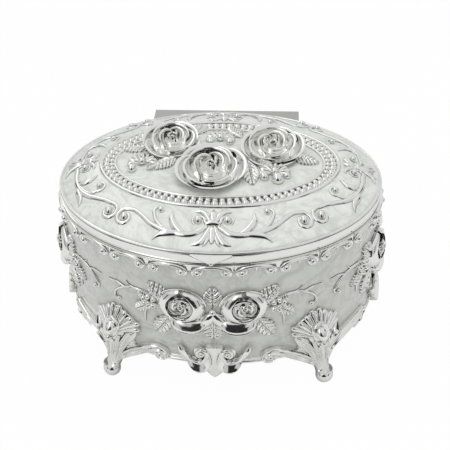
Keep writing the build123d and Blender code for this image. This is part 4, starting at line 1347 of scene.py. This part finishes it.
# Level, half-width, how far the middle stands out and how wide its ridge is, from ankle to crest.
LEG_SECTIONS = (
    (3.6, 2.7, 4.8, 9.0), (6.0, 3.0, 4.8, 9.0), (8.5, 3.9, 4.7, 5.0), (11.0, 5.2, 4.6, 4.0),
    (13.5, 6.8, 4.6, 3.6), (16.0, 8.6, 4.7, 3.5), (18.5, 10.4, 4.9, 3.6), (20.5, 10.0, 5.0, 4.0),
    (23.0, 8.8, 5.2, 4.8), (26.0, 8.8, 5.3, 5.6), (29.0, 9.8, 5.0, 6.6), (32.0, 9.6, 4.4, 7.0),
    (35.0, 7.8, 3.2, 7.0), (37.5, 4.6, 1.8, 6.0), (39.0, 1.4, 0.6, 6.0),
)
LEG_EDGE = 0.6                    # leg's edge proud of the wall
# A wing from the ankle along the wall's lower edge: across, up, width.
LEG_WING = (
    (1.6, 7.4, 1.8), (3.4, 10.0, 2.8), (6.4, 14.2, 3.8), (10.2, 18.2, 4.4), (14.4, 21.2, 4.6),
    (18.6, 23.0, 4.2), (21.6, 23.6, 3.6),
)
WING_CURL = (23.2, 20.8)
# Lobes that rise from the ankle, one side's: across, up, width.
LEG_LOBES = (
    ((2.8, 10.6, 1.0), (3.9, 16.2, 2.6), (5.5, 21.6, 3.9), (7.6, 26.2, 4.6), (9.6, 29.0, 1.8)),
    ((2.3, 15.0, 0.8), (2.7, 21.4, 1.7), (3.6, 26.6, 1.1)),
)
LEG_TONGUE = ((-1.1, 13.0, 0.8), (-1.5, 18.0, 1.1), (-1.4, 22.4, 1.2), (0.0, 24.6, 1.3),
              (1.4, 22.4, 1.2), (1.5, 18.0, 1.1), (1.1, 13.0, 0.8))
# Lobes of the crest, one side's: angle, how far its tip is from the cabochon's middle, width.
CREST_LOBES = ((2, 10.8, 3.2), (21, 11.2, 3.0), (39, 9.8, 2.8), (62, 9.6, 3.0), (80, 10.4, 3.0))
CABOCHON_LEVEL = 31.0             # its middle, above the floor
CABOCHON_RIM = (
    (0, 0), (3.5, 0), (4.3, 0.5), (4.4, 1.0), (4.0, 1.4), (3.4, 1.1), (3.0, 0.6), (0, 0.6),
)
CABOCHON_STRETCH = (0.86, 1.14, 1.0)


def leg_face(across, up):
    """How far the leg's face stands out from the wall at points in plan."""
    levels, _, faces, ridges = np.array(LEG_SECTIONS).T
    face, ridge = np.interp(up, levels, faces), np.interp(up, levels, ridges)
    return LEG_EDGE + (face - LEG_EDGE) * np.exp(-((across / ridge) ** 2))


def on_leg(shape):
    """Lays a shape drawn in plan on the leg's face."""
    points = shape[0].copy()
    points[:, 2] += leg_face(points[:, 0], points[:, 1])
    return points, shape[1]


def leg_body():
    """The cabriole face, narrow at the ankle and wide under the wall."""
    rows = smooth_line(LEG_SECTIONS, 72)
    side = np.linspace(-1, 1, 61)[None, :]
    up, half = rows[:, :1], rows[:, 1:2]
    round_edge = np.sqrt(np.maximum(1 - np.abs(side) ** 6, 0))
    out = leg_face(half * side, up) * (0.3 + 0.7 * round_edge)
    behind = np.where(up > WALL_BOTTOM, -0.2, np.interp(up, (3.6, 8.5, 17.5), (1.6, 0.0, -1.2)))
    return backed(grid(half * side, up, out), behind)


def crest_lobe(angle, far, width):
    """Line of one lobe of the crest, from the cabochon's edge to its tip."""
    start, droop = 2.6, 1.4
    away = np.array([math.cos(math.radians(angle)), math.sin(math.radians(angle))])
    share = np.linspace(0, 1, 18)[:, None]
    place = away * (start + (far - start) * share) + (0, CABOCHON_LEVEL - 1.0)
    place -= (0, droop) * (1 - share) ** 2
    return np.hstack([place, width * (0.35 + 0.65 * share) * np.sqrt(1 - 0.86 * share**8)])


def leg():
    """A cabriole leg: lobes from its ankle, a fluted crest round a cabochon, wings and foot."""
    inward = spiral(WING_CURL, 2.9, 1.1, 96, -440, 32)
    curl = np.column_stack([inward, np.linspace(3.2, 1.1, 32)])
    wing = np.vstack([smooth_line([*LEG_WING, tuple(curl[0])], 54)[:-1], curl])
    disc = turned([(0, -0.6), (3.2, -0.6), (3.3, 0.4), (2.2, 0.8), (0, 0.9)], 20)
    half = [put(ball(1.3), *WING_CURL, 1.9), put(disc, *WING_CURL)]
    half_lobes = [smooth_line(points, 30) for points in LEG_LOBES]
    half_crest = [crest_lobe(*lobe) for lobe in CREST_LOBES]
    lobes, crest, wings, shapes = [smooth_line(LEG_TONGUE, 50)], [], [], []
    for hand in (1, -1):
        lobes += [line * (hand, 1, 1) for line in half_lobes]
        crest += [line * (hand, 1, 1) for line in half_crest]
        wings.append(wing * (hand, 1, 1))
        shapes += [put(shape, hand=hand) for shape in half]
    for points, faces in (turned(CABOCHON_RIM, 30), put(ball(2.9, 26, 0.9), out=0.9)):
        shapes.append(on_leg(put((points * CABOCHON_STRETCH, faces), 0, CABOCHON_LEVEL, 0.5)))
    shapes += [
        leg_body(), on_leg(put(fan(9.6, 0.8, 9, 220, 0.9, 3.0), 0, 30.0, -0.3)),
        on_leg(put(ball(1.6), 0, CABOCHON_LEVEL - 5.2, 1.1)),
        on_leg(put(raised_lines(lobes, 1.0, hollow=True), out=0.3)),
        on_leg(put(raised_lines(crest, 0.75), out=0.1)),
        put(raised_lines(wings, 0.85, hollow=True), out=1.0),
    ]
    leaning, faces = together(shapes)
    across, up = leaning[:, 0].copy(), leaning[:, 1]
    narrow = np.interp(up, (5, 15, 19.5, 24), (0.8, 0.6, 0.85, 1.0))
    nearness = np.clip(1 - (np.abs(across) - 12) / 8, 0, 1)
    leaning[:, 0] = np.where(across < 0, across * narrow, across)
    leaning[:, 0] += nearness * LEG_LEAN * np.clip((up - 9) / 24, 0, 1)
    return leaning, faces


def foot_ball():
    """The ball under a leg, worn flat below, with a thin collar over it."""
    worn, collar_level = 0.15, 6.3
    sphere = put(ball(LEG_BALL, 28), 0, LEG_BALL - worn, LEG_BALL_OUT)
    sphere[0][:, 1] = np.maximum(sphere[0][:, 1], 0.0)
    lathe, faces = turned([(0, 0), (3.2, 0), (3.35, 0.3), (3.2, 0.6), (0, 0.6)], 26)
    across, up, out = lathe.T
    return together([sphere, (grid(across, out + collar_level, up + LEG_BALL_OUT), faces)])


class KEEPSAKE_OT_legs(bpy.types.Operator):
    """Makes the four cabriole legs"""

    bl_idname = "keepsake.legs"
    bl_label = "Legs"

    def execute(self, context):
        drawn = together([leg(), foot_ball()])
        for name, (side, hand) in LEGS.items():
            shape = wrap(put(drawn, hand=-hand), side, hand * LEG_PLACE)
            make_piece(f"{name}_carving", shape, "box", name, shade_near_wall)
        return {"FINISHED"}


# ---- lower moulding -----------------------------------------------------------------------
MOULDING_SECTION = (
    (-1.0, 0.6), (0.0, 0.9), (0.55, 0.75), (0.62, 0.3), (0.3, 0.05), (0.3, -0.3), (0.75, -0.6),
    (0.8, -1.2), (0.4, -1.7), (-0.5, -1.8), (-1.2, -1.2), (-1.2, 0.0),
)


class KEEPSAKE_OT_lower_moulding(bpy.types.Operator):
    """Grows the double moulding along the wall's lower edge"""

    bl_idname = "keepsake.lower_moulding"
    bl_label = "Lower moulding"

    def execute(self, context):
        make_piece("lower_moulding", oval_moulding(MOULDING_SECTION, WALL_AXES, WALL_BOTTOM), "box")
        return {"FINISHED"}


# ---- fabric -------------------------------------------------------------------------------
def oval_pad(half_length, half_depth, low, high, edge):
    """Closed oval cushion with a rounded edge."""
    rows = []
    middle, half = (low + high) / 2, (high - low) / 2
    for angle in np.radians(np.linspace(-90, 90, 9)):
        inset = edge * (1 - math.cos(angle))
        rows.append((half_length - inset, half_depth - inset, middle + half * math.sin(angle)))
    for share in np.linspace(0.93, 0, 14):
        along, deep = (half_length - edge) * share, (half_depth - edge) * share
        rows = [(along, deep, low), *rows, (along, deep, high)]
    return tube(oval_rows(rows, 96))


def puffed_lining(low, high, half_length, half_depth, thick):
    """Fabric-covered card inside the wall: soft puffs between upright seams, a rolled top."""
    columns, puffs = 512, 32
    turn = np.linspace(0, 2 * np.pi, columns, endpoint=False)[None, :]
    lean = np.linspace(0, 1, 22)[:, None]
    puff = np.abs(np.sin(turn * puffs / 2)) ** 0.5
    fullness = np.sin(np.pi * lean) ** 0.25
    level = low + (high - low) * lean
    roll = thick * 0.5 * (1 - np.clip((high - level) / (thick * 1.2), 0, 1)) ** 2
    inset = thick * (0.55 + 0.45 * puff * fullness) - roll
    outer, inner = [
        grid((half_length - away) * np.cos(turn), (half_depth - away) * np.sin(turn), level)
        for away in (roll * 0.3, inset)]
    return slab(outer, inner, True)


def swell(piece, cap):
    """Puffs a pad up with the cloth solver and keeps each point within cap of its place."""
    rest = mesh_shape(piece.data)[0]
    cloth = piece.modifiers.new("cloth", "CLOTH")
    cloth.settings.use_pressure = True
    cloth.settings.uniform_pressure_force = 4.0
    cloth.settings.effector_weights.gravity = 0.0
    cloth.settings.quality = 4
    for step in range(1, 21):
        bpy.context.scene.frame_set(step)
    piece.data = plain_mesh(piece)
    bpy.context.scene.frame_set(1)
    moved = mesh_shape(piece.data)[0] - rest
    far = np.linalg.norm(moved, axis=1)[:, None]
    moved *= np.minimum(1, cap / np.maximum(far, 1e-9))
    piece.data.vertices.foreach_set("co", (rest + moved).ravel())
    smooth = piece.modifiers.new("smooth", "SUBSURF")
    smooth.levels = smooth.render_levels = 1
    piece.data = plain_mesh(piece)
    piece.data.shade_smooth()


def soft_piece(name, node, shape, body, cap=None):
    """A padded piece of velvet in the place of its CAD solid."""
    piece = helper(name, closed_mesh(name, shape))
    if cap is not None:
        swell(piece, cap)
    piece.data.materials.clear()
    piece.data.materials.append(bpy.data.materials["velvet_fabric"])
    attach(piece, body)
    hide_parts(node)


class KEEPSAKE_OT_linings(bpy.types.Operator):
    """Makes the velvet floor pad, the lining of the wall and the padded card in the lid"""

    bl_idname = "keepsake.linings"
    bl_label = "Velvet linings"

    def execute(self, context):
        cap = sizes().pad_swell
        clear = 0.25
        for name, node, body, fill in (
            ("velvet_floor", "floor_pad", "box", 0.6),
            ("velvet_lid_card", "lid_lining", "lid", 0.4),
        ):
            low, high = reach(node)
            thick = high[2] - low[2]
            swelling = min(cap / MM, thick * 0.3)
            shape = oval_pad(high[0] - clear - swelling, high[1] - clear - swelling,
                             low[2] + clear * 0.4, high[2] - swelling * 0.6, thick * 0.4)
            soft_piece(name, node, shape, body, swelling * MM)
        low, high = reach("wall_lining")
        shape = puffed_lining(low[2] + 0.05, high[2] - 0.05, high[0] - 0.02, high[1] - 0.02, 1.15)
        soft_piece("velvet_wall", "wall_lining", shape, "box")
        return {"FINISHED"}


# ---- stage --------------------------------------------------------------------------------
CAMERA_AZIMUTH, CAMERA_HEIGHT, CAMERA_ROLL = 4.607, 36.872, -1.622          # degrees
CAMERA_DISTANCE = 365.49
CAMERA_TARGET = (0.0, 0.0, 59.0)


def studio_camera():
    """Camera looking down on the front from a little to the right of the middle."""
    turn, height = math.radians(CAMERA_AZIMUTH), math.radians(CAMERA_HEIGHT)
    away = Vector((math.sin(turn) * math.cos(height), -math.cos(turn) * math.cos(height),
                   math.sin(height)))
    camera = bpy.data.cameras.new("studio_camera")
    camera.lens, camera.sensor_width = 68.82, 36.0
    camera.shift_x, camera.shift_y = 0.0098, -0.0389
    camera.clip_start = 0.01
    held = helper("studio_camera", camera)
    held.location = (Vector(CAMERA_TARGET) + CAMERA_DISTANCE * away) * MM
    aim = (-away).to_track_quat("-Z", "Y") @ Quaternion((0, 0, 1), math.radians(CAMERA_ROLL))
    held.rotation_euler = aim.to_euler()
    bpy.context.scene.camera = held


def softbox(name, place, aim, size, power):
    """Square soft light at a place in metres, turned towards another. Polished metal shows the
    surround instead of it."""
    light = bpy.data.lights.new(name, "AREA")
    light.size, light.energy = size, power
    held = helper(name, light)
    held.visible_glossy = False
    held.location = place
    held.rotation_euler = (Vector(aim) - Vector(place)).to_track_quat("-Z", "Y").to_euler()


def studio_world():
    """Even white surround, with dark openings that only polished metal shows."""
    world = bpy.data.worlds.new("studio")
    world.use_nodes = True
    bpy.context.scene.world = world
    graph = Graph(world.node_tree)
    x = graph.split(graph.node("ShaderNodeTexCoord", output="Generated"))
    y, z = x.out("Y"), x.out("Z")
    front = graph.between(0 - y, 0.45, 0.6)
    window = front * graph.between(0.46 - abs(x), 0.0, 0.1) * graph.between(0.34 - z, 0.0, 0.08)
    column = front * graph.between(0.3 - abs(x), 0.0, 0.1) * graph.between(0.74 - z, 0.0, 0.12)
    strips = graph.between(0.06 - abs(abs(x) - 0.84), 0.0, 0.03)
    strips = strips * graph.between(0.45 - z, 0.0, 0.15)
    dark = graph.between(window + column + strips, 0.0, 1.0)
    ceiling = 0.56 + 0.18 * graph.between(z, 0.15, 0.85) + 0.1 * graph.between(y, 0.2, 0.8)
    lamp = graph.between(0.12 - abs(x + 0.42), 0.0, 0.03)
    lamp = lamp * graph.between(0.3 - abs(z - 0.75), 0.0, 0.05)
    in_metal = (ceiling + lamp * 0.8) * (1 - dark * 0.96)
    glossy = graph.node("ShaderNodeLightPath", output="Is Glossy Ray")
    camera = glossy.out("Is Camera Ray")
    level = glossy * in_metal + (1 - glossy) * (camera + (1 - camera) * 0.68)
    background = world.node_tree.nodes["Background"]
    graph.feed(background, {"Strength": level, "Color": (1.0, 1.0, 1.0, 1.0)})


def pale_floor():
    """Wide pale floor that stays white to the camera and keeps the soft shadow."""
    graph, shader, place = new_finish("pale_floor")
    nodes = graph.tree.nodes
    nodes.remove(shader)
    tone = graph.mix_colours(graph.noise(place, 3.0), (0.76, 0.76, 0.755, 1), (0.8, 0.8, 0.795, 1))
    matt = graph.node("ShaderNodeBsdfDiffuse", {"Color": tone})
    glow = graph.node("ShaderNodeEmission", {"Strength": 1.0})
    camera = graph.node("ShaderNodeLightPath", output="Is Camera Ray")
    mixed = graph.node("ShaderNodeMixShader", (camera * 0.975, matt, glow))
    graph.feed(nodes["Material Output"], {"Surface": mixed})
    mesh = bpy.data.meshes.new("floor")
    half, front = 3.0, -0.18         # polished metal sees the dark opening past the front edge
    mesh.from_pydata([(-half, front, 0), (half, front, 0), (half, half, 0), (-half, half, 0)], [],
                     [(0, 1, 2, 3)])
    mesh.materials.append(bpy.data.materials["pale_floor"])
    helper("floor", mesh)


class KEEPSAKE_OT_stage(bpy.types.Operator):
    """Sets the floor, the soft lights, the surround and the camera"""

    bl_idname = "keepsake.stage"
    bl_label = "Stage"

    def execute(self, context):
        context.scene.view_settings.view_transform = "Standard"
        studio_camera()
        studio_world()
        pale_floor()
        softbox("overhead", (0.0, 0.0, 1.0), (0, 0, 0.06), 0.8, 4.1)
        softbox("left_fill", (-0.8, -0.5, 0.6), (0, 0, 0.05), 0.4, 0.5)
        softbox("right_fill", (0.8, -0.5, 0.6), (0, 0, 0.05), 0.4, 0.42)
        return {"FINISHED"}


class KEEPSAKE_PT_parts(bpy.types.Panel):
    """Sizes, colours and parts of the box"""

    bl_idname = "KEEPSAKE_PT_parts"
    bl_label = "Keepsake box"
    bl_space_type = "VIEW_3D"
    bl_region_type = "UI"
    bl_category = "Keepsake"

    def draw(self, context):
        for group in (context.scene.keepsake_sizes, context.scene.keepsake_colours):
            for name in group.__annotations__:
                self.layout.prop(group, name)
        for part in PARTS:
            self.layout.operator(part.bl_idname)


PARTS = (
    KEEPSAKE_OT_finishes, KEEPSAKE_OT_carried_metal, KEEPSAKE_OT_stage, KEEPSAKE_OT_lid_enamel,
    KEEPSAKE_OT_bead_ring, KEEPSAKE_OT_lid_roses, KEEPSAKE_OT_lid_leaves, KEEPSAKE_OT_scrollwork,
    KEEPSAKE_OT_thumb_tab, KEEPSAKE_OT_scroll_trim, KEEPSAKE_OT_rose_sprays, KEEPSAKE_OT_pendants,
    KEEPSAKE_OT_legs, KEEPSAKE_OT_lower_moulding, KEEPSAKE_OT_linings,
)
CLASSES = (BoxSizes, BoxColours, *PARTS, KEEPSAKE_PT_parts)


def register():
    for item in CLASSES:
        bpy.utils.register_class(item)
    bpy.types.Scene.keepsake_sizes = bpy.props.PointerProperty(type=BoxSizes)
    bpy.types.Scene.keepsake_colours = bpy.props.PointerProperty(type=BoxColours)


def unregister():
    del bpy.types.Scene.keepsake_sizes
    del bpy.types.Scene.keepsake_colours
    for item in reversed(CLASSES):
        bpy.utils.unregister_class(item)


def main():
    """Makes every part in order."""
    register()
    for part in PARTS:
        group, name = part.bl_idname.split(".")
        getattr(getattr(bpy.ops, group), name)()


if __name__ == "__main__":
    main()
